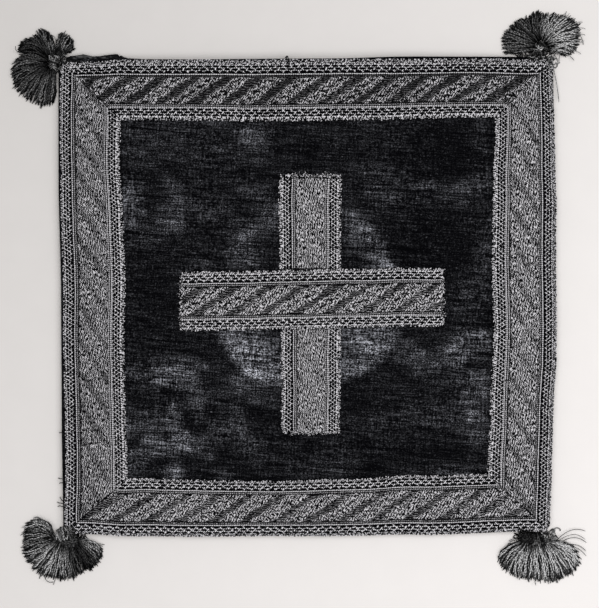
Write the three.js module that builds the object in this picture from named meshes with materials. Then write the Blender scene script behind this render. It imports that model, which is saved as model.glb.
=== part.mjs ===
// A liturgical burse: the flat square pocket that carries a folded corporal.
//
// Two stiff cloth-covered panels lie on each other. They are sewn together along the left, right and bottom
// edges, and the top edge is left open as the mouth. The front panel is covered in velvet and has bowed
// upwards with use, so that the pocket under it stands a little open. A woven galloon, mitred at the corners,
// frames the velvet, and two lengths of the same galloon cross in the middle, the bar over the upright.
// A short bound tassel is sewn to each corner, and its threads lie spread out in a fan.
//
// Millimetres, +Z up. The burse lies on its back: the origin is the middle of the back panel's underside,
// +X is to the right and +Y towards the mouth, as seen from above.
import * as THREE from "three";

// ---- Driving dimensions ----

const HALF_WIDTH = 127;
const HALF_HEIGHT = 122;
const CORNER_RADIUS = 4;
const BACK_THICK = 2.4; // board and cloth
const FRONT_THICK = 2.6; // board and velvet
const GALLOON_THICK = 1.0;
const GALLOON_WIDTH = 31;
const GAP = 0.3; // between two pieces that are sewn together or lie on each other

const BOW = 7.0; // how far the middle of the mouth stands open
const BOW_FLATNESS = 2.2; // power of the bow's fall towards the side seams
const BOW_RISE = 140; // distance from the bottom seam in which the bow reaches its height

// How far the velvet panel shows beyond the galloon on each side, and the back panel beyond the velvet one.
const VELVET_MARGIN = { left: 1.0, right: 0.3, top: 0.5, bottom: 0.3 };
const BACK_MARGIN = { left: 0.2, right: -0.4, top: -0.2, bottom: -0.4 };

// The galloon frame's outer edge. Left and right give x at a height y; top and bottom give y at a place x.
const OUTER = {
  left: [
    { at: -123, edge: -125.5 },
    { at: -60, edge: -126.5 },
    { at: 0, edge: -127.0 },
    { at: 60, edge: -128.2 },
    { at: 124, edge: -128.1 },
  ],
  right: [
    { at: -123, edge: 124.9 },
    { at: -56, edge: 126.7 },
    { at: -38, edge: 128.3 },
    { at: 50, edge: 128.2 },
    { at: 124, edge: 126.2 },
  ],
  bottom: [
    { at: -128, edge: -121.8 },
    { at: -75, edge: -123.3 },
    { at: 0, edge: -122.9 },
    { at: 60, edge: -122.3 },
    { at: 128, edge: -120.5 },
  ],
  top: [
    { at: -128, edge: 122.2 },
    { at: -60, edge: 122.7 },
    { at: 0, edge: 123.0 },
    { at: 60, edge: 123.6 },
    { at: 128, edge: 123.8 },
  ],
};

// Its inner edge, round the velvet field, in the same way.
const INNER = {
  left: [
    { at: -94, edge: -93.2 },
    { at: -60, edge: -93.8 },
    { at: -17, edge: -94.8 },
    { at: 10, edge: -94.2 },
    { at: 45, edge: -95.3 },
    { at: 66, edge: -97.0 },
    { at: 92, edge: -96.2 },
  ],
  right: [
    { at: -94, edge: 93.2 },
    { at: -60, edge: 94.8 },
    { at: -17, edge: 96.2 },
    { at: 10, edge: 95.6 },
    { at: 45, edge: 95.9 },
    { at: 92, edge: 97.2 },
  ],
  bottom: [
    { at: -94, edge: -93.9 },
    { at: -62, edge: -94.4 },
    { at: -20, edge: -95.2 },
    { at: 20, edge: -94.0 },
    { at: 60, edge: -92.4 },
    { at: 94, edge: -91.7 },
  ],
  top: [
    { at: -97, edge: 91.4 },
    { at: -60, edge: 91.1 },
    { at: -20, edge: 90.6 },
    { at: 30, edge: 91.1 },
    { at: 60, edge: 92.1 },
    { at: 97, edge: 92.7 },
  ],
};

// The back panel's cloth stands out of the mouth near its left end: how far out, at a place x.
const LIP = [
  { at: -126, out: 0 },
  { at: -121, out: 2.0 },
  { at: -108, out: 2.1 },
  { at: -98, out: 2.9 },
  { at: -94, out: 0.8 },
  { at: -84, out: 0 },
];
const LIP_SHARE = 0.1; // share of the panel's height in which the lip grows out of the edge

// The corners of the cross's two lengths of galloon.
const UPRIGHT = {
  bottom: { left: { x: -12.6, y: -70.6 }, right: { x: 16.7, y: -69.5 } },
  top: { left: { x: -13.9, y: 61.8 }, right: { x: 17.5, y: 62.8 } },
};
const BAR = {
  bottom: { left: { x: -63.9, y: -17.0 }, right: { x: 70.6, y: -14.4 } },
  top: { left: { x: -65.4, y: 13.4 }, right: { x: 69.0, y: 15.5 } },
};
const CROSSING = { x: 1.8, half: 17 }; // the stretch where the bar lies over the upright
const BAR_RAMP = 6; // length in which the bar climbs onto the upright

// Each tassel has a bound head, an oval knot beside its corner, and a fan of threads round it. The fan's rows
// give the threads' reach from the head's middle in a direction, in degrees anticlockwise from +X.
const HEAD_TALL = 7.4;
const TASSELS = [
  {
    name: "top_left",
    head: { x: -128.5, y: 126.5, halfLong: 5.0, halfWide: 3.3 },
    fan: [
      { angle: 40, reach: 9.8 },
      { angle: 68, reach: 11.0 },
      { angle: 92, reach: 11.4 },
      { angle: 111, reach: 8.8 },
      { angle: 125, reach: 17.0 },
      { angle: 142, reach: 16.4 },
      { angle: 173, reach: 21.2 },
      { angle: 183, reach: 19.8 },
      { angle: 197, reach: 26.4 },
      { angle: 216, reach: 29.3 },
      { angle: 241, reach: 30.0 },
      { angle: 252, reach: 29.4 },
      { angle: 261, reach: 26.8 },
    ],
  },
  {
    name: "top_right",
    head: { x: 120.5, y: 128.3, halfLong: 4.4, halfWide: 3.3 },
    fan: [
      { angle: -16, reach: 14.3 },
      { angle: 8, reach: 21.0 },
      { angle: 26, reach: 24.6 },
      { angle: 41, reach: 25.0 },
      { angle: 55, reach: 23.6 },
      { angle: 78, reach: 18.0 },
      { angle: 93, reach: 20.2 },
      { angle: 116, reach: 19.2 },
      { angle: 149, reach: 20.0 },
      { angle: 165, reach: 20.9 },
      { angle: 179, reach: 19.8 },
      { angle: 187, reach: 16.0 },
    ],
  },
  {
    name: "bottom_left",
    head: { x: -122.5, y: -126.1, halfLong: 6.0, halfWide: 3.4 },
    fan: [
      { angle: 148, reach: 19.5 },
      { angle: 163, reach: 25.8 },
      { angle: 190, reach: 26.0 },
      { angle: 206, reach: 25.8 },
      { angle: 236, reach: 22.2 },
      { angle: 251, reach: 24.9 },
      { angle: 270, reach: 22.6 },
      { angle: 284, reach: 18.6 },
      { angle: 319, reach: 19.0 },
      { angle: 334, reach: 19.0 },
      { angle: 354, reach: 13.0 },
    ],
  },
  {
    name: "bottom_right",
    head: { x: 117.0, y: -124.7, halfLong: 8.0, halfWide: 3.4 },
    fan: [
      { angle: 198, reach: 13.0 },
      { angle: 211, reach: 20.9 },
      { angle: 240, reach: 21.2 },
      { angle: 256, reach: 21.8 },
      { angle: 273, reach: 24.6 },
      { angle: 290, reach: 25.0 },
      { angle: 320, reach: 28.2 },
      { angle: 342, reach: 28.6 },
      { angle: 356, reach: 27.0 },
      { angle: 366, reach: 26.0 },
    ],
  },
];

// Over its length, from the head to the cut ends, a fan of threads is this high.
const FAN_PROFILE = [
  { along: 0, top: 6.2 },
  { along: 0.2, top: 7.0 },
  { along: 0.5, top: 5.8 },
  { along: 0.8, top: 4.0 },
  { along: 1, top: 2.2 },
];
const FAN_LOCKS = 18; // the threads lie together in pointed locks
const LOCK_NOTCH = 0.13; // depth between two locks, as a share of the reach

// ---- Materials ----

const velvet = new THREE.MeshStandardMaterial({ color: 0x1b1a20, roughness: 0.95, metalness: 0 });
const backCloth = new THREE.MeshStandardMaterial({ color: 0x25282a, roughness: 0.9, metalness: 0 });
const galloon = new THREE.MeshStandardMaterial({ color: 0x6b6a6e, roughness: 0.7, metalness: 0.1 });
const yarn = new THREE.MeshStandardMaterial({ color: 0x4c4b50, roughness: 0.85, metalness: 0 });

// ---- Outlines ----

const smooth = (t) => t * t * (3 - 2 * t);
const clamp01 = (t) => Math.min(1, Math.max(0, t));
const mix = (a, b, t) => a + (b - a) * t;
const mixPoints = (a, b, t) => ({ x: mix(a.x, b.x, t), y: mix(a.y, b.y, t) });
const runsAcross = (side) => side === "top" || side === "bottom";

// Reads one column of a table at a place in its key column, easing from row to row.
function read(rows, place, column, key) {
  const first = rows[0];
  const last = rows[rows.length - 1];
  if (place <= first[key]) {
    return first[column];
  }
  if (place >= last[key]) {
    return last[column];
  }
  const i = rows.findIndex((row) => row[key] > place);
  const [before, after] = [rows[i - 1], rows[i]];
  const share = (place - before[key]) / (after[key] - before[key]);
  return mix(before[column], after[column], smooth(share));
}

const edgeAt = (edges, side, place) => read(edges[side], place, "edge", "at");

// Where two of the four edges meet. Each pass reads one edge at the place that the other one gave.
const MEETING_PASSES = 4;
function corner(edges, sideA, sideB) {
  const [across, upright] = runsAcross(sideA) ? [sideA, sideB] : [sideB, sideA];
  let x = edgeAt(edges, upright, 0);
  let y = edgeAt(edges, across, 0);
  for (let pass = 0; pass < MEETING_PASSES; pass++) {
    x = edgeAt(edges, upright, y);
    y = edgeAt(edges, across, x);
  }
  return { x, y };
}

// A point between four corners, from its shares across and up.
function between({ bottom, top }, across, up) {
  const low = mixPoints(bottom.left, bottom.right, across);
  const high = mixPoints(top.left, top.right, across);
  return mixPoints(low, high, up);
}

// The same, with the curved edges' own departures from the straight lines blended in.
function inside(edges, corners, across, up) {
  const { bottom, top } = corners;
  const straight = between(corners, across, up);
  const left = edgeAt(edges, "left", straight.y) - mix(bottom.left.x, top.left.x, up);
  const right = edgeAt(edges, "right", straight.y) - mix(bottom.right.x, top.right.x, up);
  const below = edgeAt(edges, "bottom", straight.x) - mix(bottom.left.y, bottom.right.y, across);
  const above = edgeAt(edges, "top", straight.x) - mix(top.left.y, top.right.y, across);
  return { x: straight.x + mix(left, right, across), y: straight.y + mix(below, above, up) };
}

function cornersOf(edges) {
  const both = (side) => ({ left: corner(edges, side, "left"), right: corner(edges, side, "right") });
  return { bottom: both("bottom"), top: both("top") };
}

// Draws a point near an outer corner in, so that the square corner becomes an arc.
function rounded(point, corners) {
  const row = point.y < 0 ? corners.bottom : corners.top;
  const tip = point.x < 0 ? row.left : row.right;
  const centre = {
    x: tip.x - Math.sign(tip.x) * CORNER_RADIUS,
    y: tip.y - Math.sign(tip.y) * CORNER_RADIUS,
  };
  const dx = (point.x - centre.x) * Math.sign(tip.x);
  const dy = (point.y - centre.y) * Math.sign(tip.y);
  if (dx <= 0 || dy <= 0) {
    return point;
  }
  return mixPoints(centre, point, Math.max(dx, dy) / Math.hypot(dx, dy));
}

// The same edges, each moved outwards by its own margin.
function widened(edges, margin) {
  const wider = {};
  for (const side of ["left", "right", "bottom", "top"]) {
    const outwards = side === "left" || side === "bottom" ? -1 : 1;
    wider[side] = edges[side].map(({ at, edge }) => ({ at, edge: edge + outwards * margin[side] }));
  }
  return wider;
}

// ---- Heights ----

// How far the front panel has bowed away from the back one. It is zero along the three sewn edges.
function bow(x, y) {
  const side = clamp01(1 - Math.abs(x / HALF_WIDTH) ** BOW_FLATNESS);
  const rise = Math.sin((Math.PI / 2) * clamp01((y + HALF_HEIGHT) / BOW_RISE));
  return BOW * side * rise;
}

// How far the bar has climbed onto the upright, at a share of its length.
function climb(share) {
  const x = mix(BAR.bottom.left.x, BAR.bottom.right.x, share);
  const beyond = Math.abs(x - CROSSING.x) - CROSSING.half;
  return (GALLOON_THICK + GAP) * (1 - smooth(clamp01(beyond / BAR_RAMP)));
}

const velvetUnder = (x, y) => BACK_THICK + GAP + bow(x, y);
const velvetTop = (x, y) => velvetUnder(x, y) + FRONT_THICK;
const galloonUnder = (x, y) => velvetTop(x, y) + GAP;
const galloonTop = (x, y) => galloonUnder(x, y) + GALLOON_THICK;
const barUnder = (x, y, share) => galloonUnder(x, y) + climb(share);
const barTop = (x, y, share) => galloonTop(x, y) + climb(share);

// ---- Building meshes ----

// A closed slab over a grid. place(u, v) gives x and y, with v to the left of u; under and over give the
// heights of its two faces at x, y and u.
function slab(us, vs, place, under, over) {
  const positions = [];
  for (const height of [over, under]) {
    for (const v of vs) {
      for (const u of us) {
        const { x, y } = place(u, v);
        positions.push(x, y, height(x, y, u));
      }
    }
  }
  const wide = us.length;
  const deep = vs.length;
  const layer = wide * deep;
  const index = [];
  const quad = (a, b, c, d) => index.push(a, b, c, a, c, d);
  for (let j = 0; j < deep - 1; j++) {
    for (let i = 0; i < wide - 1; i++) {
      const at = j * wide + i;
      const below = layer + at;
      quad(at, at + 1, at + wide + 1, at + wide);
      quad(below, below + wide, below + wide + 1, below + 1);
    }
  }
  const columns = [...us.keys()];
  const rows = [...vs.keys()];
  const rim = [
    ...columns.slice(0, -1),
    ...rows.slice(0, -1).map((j) => j * wide + wide - 1),
    ...columns.slice(1).reverse().map((i) => layer - wide + i),
    ...rows.slice(1).reverse().map((j) => j * wide),
  ];
  rim.forEach((at, k) => {
    const next = rim[(k + 1) % rim.length];
    quad(at, layer + at, layer + next, next);
  });
  const geometry = new THREE.BufferGeometry();
  geometry.setAttribute("position", new THREE.Float32BufferAttribute(positions, 3));
  geometry.setIndex(index);
  geometry.computeVertexNormals();
  return geometry;
}

// Evenly spaced shares from 0 to 1.
const shares = (count) => Array.from({ length: count + 1 }, (_, i) => i / count);

const burse = new THREE.Group();

function add(name, geometry, material, place = { x: 0, y: 0 }) {
  const mesh = new THREE.Mesh(geometry, material);
  mesh.name = name;
  mesh.position.set(place.x, place.y, 0);
  burse.add(mesh);
}

// ---- The two panels ----

const PANEL_STEPS = 15;
const CORNER_SHARE = CORNER_RADIUS / (2 * HALF_WIDTH);
const outerCorners = cornersOf(OUTER);
const velvetEdges = widened(OUTER, VELVET_MARGIN);
const backEdges = widened(velvetEdges, BACK_MARGIN);

// A panel's grid lines stand close together at its corner arcs.
const panelShares = [
  0,
  CORNER_SHARE / 2,
  ...shares(PANEL_STEPS).map((t) => mix(CORNER_SHARE, 1 - CORNER_SHARE, t)),
  1 - CORNER_SHARE / 2,
  1,
];

function panel(edges) {
  const corners = cornersOf(edges);
  return (across, up) => rounded(inside(edges, corners, across, up), corners);
}

const backPanel = panel(backEdges);
function backWithLip(across, up) {
  const point = backPanel(across, up);
  const share = clamp01((up - 1 + LIP_SHARE) / LIP_SHARE);
  return { x: point.x, y: point.y + share * read(LIP, point.x, "out", "at") };
}

add("back_panel", slab(panelShares, panelShares, backWithLip, () => 0, () => BACK_THICK), backCloth);
add("front_panel", slab(panelShares, panelShares, panel(velvetEdges), velvetUnder, velvetTop), velvet);

// ---- The galloon frame ----

// The four lengths follow each other anticlockwise round the frame.
const FRAME = [
  { side: "bottom", from: "left", to: "right" },
  { side: "right", from: "bottom", to: "top" },
  { side: "top", from: "right", to: "left" },
  { side: "left", from: "top", to: "bottom" },
];
const FRAME_STEPS = 20;
const MITRE_BACK = GAP / Math.SQRT2; // each end stands back this far along its length, for the gap

// One length from mitre to mitre: its shares along, and across from the outer to the inner edge.
function frameLength({ side, from, to }) {
  const along = runsAcross(side) ? "x" : "y";
  const edgePoint = (edges, share) => {
    const start = corner(edges, side, from)[along];
    const end = corner(edges, side, to)[along];
    const back = Math.sign(end - start) * MITRE_BACK * (1 - 2 * share);
    const at = mix(start, end, share) + back;
    const edge = edgeAt(edges, side, at);
    return runsAcross(side) ? { x: at, y: edge } : { x: edge, y: at };
  };
  return (share, across) => {
    const point = mixPoints(edgePoint(OUTER, share), edgePoint(INNER, share), across);
    return rounded(point, outerCorners);
  };
}

const frameAlong = [0, CORNER_SHARE, ...shares(FRAME_STEPS).slice(1, -1), 1 - CORNER_SHARE, 1];
const frameAcross = [0, CORNER_RADIUS / GALLOON_WIDTH, 0.4, 0.7, 1];
for (const length of FRAME) {
  const geometry = slab(frameAlong, frameAcross, frameLength(length), galloonUnder, galloonTop);
  add(`galloon_${length.side}`, geometry, galloon);
}

// ---- The cross ----

const CROSS_STEPS = 12;
const acrossCross = shares(3);
const uprightPlace = (up, leftwards) => between(UPRIGHT, 1 - leftwards, up);
add("cross_upright", slab(shares(CROSS_STEPS), acrossCross, uprightPlace, galloonUnder, galloonTop), galloon);

// The bar's grid lines stand close together on its two ramps.
const barStart = BAR.bottom.left.x;
const barLong = BAR.bottom.right.x - barStart;
const rampShares = (sign) =>
  shares(3).map((t) => (CROSSING.x + sign * (CROSSING.half + t * BAR_RAMP) - barStart) / barLong);
const leftRamp = rampShares(-1).reverse();
const rightRamp = rampShares(1);
const barAlong = [
  ...shares(3).slice(0, -1).map((t) => mix(0, leftRamp[0], t)),
  ...leftRamp,
  (CROSSING.x - barStart) / barLong,
  ...rightRamp,
  ...shares(3).slice(1).map((t) => mix(rightRamp[rightRamp.length - 1], 1, t)),
];
const barPlace = (across, up) => between(BAR, across, up);
add("cross_bar", slab(barAlong, acrossCross, barPlace, barUnder, barTop), galloon);

// ---- The tassels ----

// The bound head's outline from its foot to its crown, as shares of its half width and its height. It is
// drawn in where the binding thread runs.
const HEAD_PROFILE = [
  { out: 0, up: 0 },
  { out: 0.8, up: 0 },
  { out: 1, up: 0.2 },
  { out: 0.9, up: 0.5 },
  { out: 1, up: 0.75 },
  { out: 0.65, up: 0.95 },
  { out: 0, up: 1 },
];
const HEAD_SIDES = 16;

function headGeometry({ halfLong, halfWide }) {
  const profile = HEAD_PROFILE.map(({ out, up }) => new THREE.Vector2(out, up));
  const lathed = new THREE.LatheGeometry(profile, HEAD_SIDES).rotateX(Math.PI / 2);
  return lathed.scale(halfLong, halfWide, HEAD_TALL);
}

// The spread threads: flat underneath, high beside the head and thin at the cut ends.
function fanGeometry({ halfLong, halfWide }, fan) {
  const first = fan[0].angle;
  const last = fan[fan.length - 1].angle;
  const startAt = (turn) => {
    const long = Math.cos(turn) / (halfLong + GAP);
    const wide = Math.sin(turn) / (halfWide + GAP);
    return 1 / Math.hypot(long, wide);
  };
  const place = (along, around) => {
    const angle = mix(first, last, around);
    const turn = THREE.MathUtils.degToRad(angle);
    const betweenLocks = Math.abs(Math.cos(Math.PI * FAN_LOCKS * around));
    const tip = read(fan, angle, "reach", "angle") * (1 - LOCK_NOTCH * betweenLocks);
    const radius = mix(startAt(turn), tip, along);
    return { x: radius * Math.cos(turn), y: radius * Math.sin(turn) };
  };
  return slab(
    FAN_PROFILE.map((row) => row.along),
    shares(2 * FAN_LOCKS),
    place,
    () => 0,
    (x, y, along) => read(FAN_PROFILE, along, "top", "along"),
  );
}

for (const { name, head, fan } of TASSELS) {
  add(`tassel_${name}_head`, headGeometry(head), yarn, head);
  add(`tassel_${name}_fan`, fanGeometry(head, fan), yarn, head);
}

export default burse;
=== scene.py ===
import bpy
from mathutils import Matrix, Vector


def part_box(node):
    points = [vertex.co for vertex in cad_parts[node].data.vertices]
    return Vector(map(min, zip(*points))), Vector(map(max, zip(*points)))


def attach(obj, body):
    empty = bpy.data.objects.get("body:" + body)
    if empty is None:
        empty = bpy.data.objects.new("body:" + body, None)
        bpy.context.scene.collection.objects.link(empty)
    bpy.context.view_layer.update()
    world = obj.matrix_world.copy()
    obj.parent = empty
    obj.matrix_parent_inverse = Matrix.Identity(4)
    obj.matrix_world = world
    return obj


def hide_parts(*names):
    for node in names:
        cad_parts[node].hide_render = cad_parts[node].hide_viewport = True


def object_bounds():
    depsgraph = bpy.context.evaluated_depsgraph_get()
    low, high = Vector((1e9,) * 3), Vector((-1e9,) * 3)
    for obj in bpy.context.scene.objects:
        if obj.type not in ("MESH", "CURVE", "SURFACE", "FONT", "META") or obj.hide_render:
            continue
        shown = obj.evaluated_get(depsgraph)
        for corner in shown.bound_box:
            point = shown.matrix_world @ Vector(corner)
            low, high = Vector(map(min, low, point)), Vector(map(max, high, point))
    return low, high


bl_info = {
    "name": "Liturgical Burse",
    "version": (1, 0, 0),
    "blender": (4, 5, 0),
    "location": "View3D > Sidebar > Burse",
    "description": "Builds a burse's velvet, galloon, cloth and tassels round its frame",
    "category": "Object",
}

import math

import bmesh
import bpy
import numpy as np
from mathutils import Vector
from mathutils.bvhtree import BVHTree

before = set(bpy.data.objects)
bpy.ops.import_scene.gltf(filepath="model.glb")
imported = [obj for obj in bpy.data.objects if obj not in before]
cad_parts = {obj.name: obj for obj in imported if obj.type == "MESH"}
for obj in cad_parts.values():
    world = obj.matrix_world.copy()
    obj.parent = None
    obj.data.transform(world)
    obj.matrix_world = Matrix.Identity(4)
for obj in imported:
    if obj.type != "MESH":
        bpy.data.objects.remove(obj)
FRAME_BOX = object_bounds()
MM = 0.001
X, Y, Z = 0, 1, 2
TINY = 1e-9  # keeps a length that is divided by from being nothing
GALLOON_WIDTH = 31.0  # in millimetres, as all the galloon's and the tassels' own sizes are
GALLOON_THICK = 1.0

# ---- Numbers that vary softly ----


def mix(a, b, t):
    return a + (b - a) * t


def smooth(t):
    t = np.clip(t, 0, 1)
    return t * t * (3 - 2 * t)


def noise(x, y, cell, seed, cell_y=None, turn=0.0):
    """Soft random values from 0 to 1 in cells of that size, the same ones for the same seed."""
    size = 256
    table = np.random.default_rng(seed).random((size, size))
    c, s = math.cos(turn), math.sin(turn)
    u = (np.asarray(x) * c + np.asarray(y) * s) / cell
    v = (np.asarray(y) * c - np.asarray(x) * s) / (cell_y or cell)
    i, j = np.floor(u).astype(int), np.floor(v).astype(int)
    fu, fv = smooth(u - i), smooth(v - j)
    low = mix(table[j % size, i % size], table[j % size, (i + 1) % size], fu)
    high = mix(table[(j + 1) % size, i % size], table[(j + 1) % size, (i + 1) % size], fu)
    return mix(low, high, fv)


# ---- Reading the frame ----


class Heights:
    """The top faces of a frame node, or its undersides, as heights over the plane."""

    STEP = 2 * MM

    def __init__(self, node, underside=False):
        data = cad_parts[node].data
        tree = BVHTree.FromPolygons(
            [v.co for v in data.vertices], [tuple(p.vertices) for p in data.polygons]
        )
        low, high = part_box(node)
        self.low = low
        count = [int((high[k] - low[k]) / self.STEP) + 2 for k in (X, Y)]
        start, way = (low.z - 1, 1) if underside else (high.z + 1, -1)
        table = np.full((count[Y], count[X]), np.nan)
        for j in range(count[Y]):
            for i in range(count[X]):
                ray = Vector((low.x + i * self.STEP, low.y + j * self.STEP, start))
                hit = tree.ray_cast(ray, Vector((0, 0, way)))[0]
                if hit:
                    table[j, i] = hit.z
        self.table = self.filled(table)

    @staticmethod
    def filled(table):
        """Each missing height becomes the mean of its neighbours, from the edge outwards."""
        while np.isnan(table).any():
            wide = np.pad(table, 1, constant_values=np.nan)
            near = np.stack([wide[1:-1, :-2], wide[1:-1, 2:], wide[:-2, 1:-1], wide[2:, 1:-1]])
            known = ~np.isnan(near)
            mean = np.where(known, near, 0).sum(0) / np.maximum(known.sum(0), 1)
            table = np.where(np.isnan(table) & known.any(0), mean, table)
        return table

    def at(self, x, y):
        rows, columns = self.table.shape
        u = np.clip((x - self.low.x) / self.STEP, 0, columns - 1.001)
        v = np.clip((y - self.low.y) / self.STEP, 0, rows - 1.001)
        i, j = u.astype(int), v.astype(int)
        low = mix(self.table[j, i], self.table[j, i + 1], u - i)
        high = mix(self.table[j + 1, i], self.table[j + 1, i + 1], u - i)
        return mix(low, high, v - j)


class Edge:
    """One edge of a flat frame node: its place across, read at places along it.

    inset: how far in from the node's own edge it lies, as (place, distance) in millimetres."""

    STEP = 2 * MM
    INSET = 8 * MM  # past the rounded corners
    STEEPEST = 0.4  # a steeper stretch is a mitre and not the edge

    def __init__(self, node, along, side, inset=((0, 0),)):
        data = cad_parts[node].data
        across = 1 - along
        points = np.array([v.co for v in data.vertices])
        pairs = np.array([e.vertices[:] for e in data.edges])
        a, b = points[pairs[:, 0]], points[pairs[:, 1]]
        low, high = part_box(node)
        places = np.arange(low[along] + self.INSET, high[along] - self.INSET, self.STEP)
        values = []
        for place in places:
            spans = (a[:, along] < place) != (b[:, along] < place)
            start, end = a[spans], b[spans]
            share = (place - start[:, along]) / (end[:, along] - start[:, along])
            crossing = mix(start[:, across], end[:, across], share)
            values.append(side * (side * crossing).max())
        straight = np.flatnonzero(np.abs(np.gradient(values, places)) < self.STEEPEST)
        kept = slice(straight[0], straight[-1] + 1)
        self.places, self.values = places[kept], np.array(values)[kept]
        self.values -= side * MM * np.interp(self.places / MM, *zip(*inset))

    def at(self, place):
        return np.interp(place, self.places, self.values)


def surface_of(nodes):
    """The faces of several frame nodes as one tree."""
    points, faces = [], []
    for node in nodes:
        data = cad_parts[node].data
        first = len(points)
        points += [v.co for v in data.vertices]
        faces += [tuple(first + k for k in p.vertices) for p in data.polygons]
    return BVHTree.FromPolygons(points, faces)


def laid(x, y, lift, under):
    """A path in millimetres over whatever lies beneath it, eased where that drops away."""
    bare = 0.4 * MM  # its height where nothing lies beneath
    ease = 3  # steps to either side
    high = []
    for a, b in zip(x * MM, y * MM):
        hit = under.ray_cast(Vector((a, b, 1)), Vector((0, 0, -1)))[0]
        high.append(hit.z if hit else bare)
    wide = np.pad(high, ease, mode="edge")
    window = 2 * ease + 1
    eased = np.convolve(wide, np.ones(window) / window, "valid")
    return np.stack([x * MM, y * MM, np.maximum(eased, high) + lift * MM], 1)


def meeting(upright, level):
    """Where an upright edge, which gives x, meets a level one, which gives y."""
    x, y = upright.values[0], level.values[0]
    for _ in range(4):
        x, y = upright.at(y), level.at(x)
    return float(x), float(y)


CORNER_RADIUS = 4 * MM


def rounded(x, y, corners):
    """Draws points in at the outline's square corners, so that each one is an arc."""
    for cx, cy in corners:
        sx, sy = np.sign(cx), np.sign(cy)
        dx = (x - cx) * sx + CORNER_RADIUS
        dy = (y - cy) * sy + CORNER_RADIUS
        inside = (dx > 0) & (dy > 0)
        pull = np.where(inside, np.maximum(dx, dy) / np.maximum(np.hypot(dx, dy), TINY), 1)
        x = np.where(inside, cx + sx * (dx * pull - CORNER_RADIUS), x)
        y = np.where(inside, cy + sy * (dy * pull - CORNER_RADIUS), y)
    return x, y


class Outline:
    """A panel's four edges. place(u, v) is a point inside them, from shares across and up."""

    # How far in from the frame's edges the cloth is pulled, as (place, distance) in millimetres.
    LEFT = ((-100, 0.6), (0, 0.9), (100, 0.7))
    RIGHT = ((80, 0), (110, -0.5))
    TOP = ((-92, 0), (-84, 0.7), (-60, 1.1), (20, 1.1), (46, 0.5), (100, 0.4))

    def __init__(self, node):
        self.left, self.right = Edge(node, Y, -1, self.LEFT), Edge(node, Y, 1, self.RIGHT)
        self.bottom, self.top = Edge(node, X, -1), Edge(node, X, 1, self.TOP)
        self.corners = [
            meeting(upright, level)
            for level in (self.bottom, self.top)
            for upright in (self.left, self.right)
        ]

    def place(self, u, v):
        (x00, y00), (x10, y10), (x01, y01), (x11, y11) = self.corners
        x = mix(mix(x00, x10, u), mix(x01, x11, u), v)
        y = mix(mix(y00, y10, u), mix(y01, y11, u), v)
        left = self.left.at(y) - mix(x00, x01, v)
        right = self.right.at(y) - mix(x10, x11, v)
        below = self.bottom.at(x) - mix(y00, y10, u)
        above = self.top.at(x) - mix(y01, y11, u)
        return rounded(x + mix(left, right, u), y + mix(below, above, v), self.corners)


# ---- Making meshes ----


def piece(name, points, faces, material, nodes):
    """A finished piece: a mesh with its place in its points, riding on the frame's one body."""
    mesh = bpy.data.meshes.new(name)
    mesh.from_pydata(np.asarray(points).tolist(), [], faces)
    mesh.shade_smooth()
    made = bpy.data.objects.new(name, mesh)
    bpy.context.collection.objects.link(made)
    mesh.materials.append(material)
    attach(made, "root")
    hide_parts(*nodes)
    return made


def give(made, name, values):
    """Keeps one number for each point of a piece, for its material to read."""
    layer = made.data.attributes.new(name, "FLOAT", "POINT")
    layer.data.foreach_set("value", np.asarray(values, np.float32))


def unfold(made, name, u, v):
    """A map of the piece's surface, from one pair of numbers for each point."""
    corner_points = np.empty(len(made.data.loops), np.int32)
    made.data.loops.foreach_get("vertex_index", corner_points)
    layer = made.data.uv_layers.new(name=name)
    pairs = np.stack([np.asarray(u)[corner_points], np.asarray(v)[corner_points]], 1)
    layer.uv.foreach_set("vector", pairs.astype(np.float32).ravel())


def grid_faces(columns, rows, first=0, flip=False):
    """The quads of a grid of points that runs row by row."""
    faces = []
    for j in range(rows - 1):
        for i in range(columns - 1):
            a = first + j * columns + i
            quad = (a, a + 1, a + columns + 1, a + columns)
            faces.append(quad[::-1] if flip else quad)
    return faces


def rim_of(columns, rows):
    """The outer points of such a grid, anticlockwise."""
    return (
        list(range(columns - 1))
        + [j * columns + columns - 1 for j in range(rows - 1)]
        + [(rows - 1) * columns + i for i in range(columns - 1, 0, -1)]
        + [j * columns for j in range(rows - 1, 0, -1)]
    )


def band_between(above, below):
    """The quads between two rings of points, anticlockwise round them."""
    after = [*range(1, len(above)), 0]
    return [(above[k], below[k], below[n], above[n]) for k, n in enumerate(after)]


def tubes(paths, radii, sides):
    """Round threads along paths, as points, faces, and for each point its share round and along."""
    paths, radii = np.asarray(paths, float), np.asarray(radii, float)
    count, steps = paths.shape[:2]
    way = np.gradient(paths, axis=1)
    way /= np.maximum(np.linalg.norm(way, axis=2, keepdims=True), TINY)
    across = np.cross(way, (0.013, 0.021, 1.0))
    across /= np.maximum(np.linalg.norm(across, axis=2, keepdims=True), TINY)
    up = np.cross(across, way)
    turns = 2 * math.pi * np.arange(sides) / sides + math.pi / 2
    ring = (
        across[:, :, None] * np.cos(turns)[None, None, :, None]
        + up[:, :, None] * np.sin(turns)[None, None, :, None]
    )
    points = paths[:, :, None] + ring * radii[:, :, None, None]
    faces = []
    for n in range(count):
        first = n * steps * sides
        for k in range(steps - 1):
            for m in range(sides):
                a = first + k * sides + m
                b = first + k * sides + (m + 1) % sides
                faces.append((a, b, b + sides, a + sides))
        faces.append(tuple(first + m for m in range(sides))[::-1])
        faces.append(tuple(first + (steps - 1) * sides + m for m in range(sides)))
    round_share = np.broadcast_to(turns / (2 * math.pi) % 1, (count, steps, sides))
    along_share = np.broadcast_to(np.linspace(0, 1, steps)[None, :, None], (count, steps, sides))
    return points.reshape(-1, 3), faces, round_share.ravel(), along_share.ravel()


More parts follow.
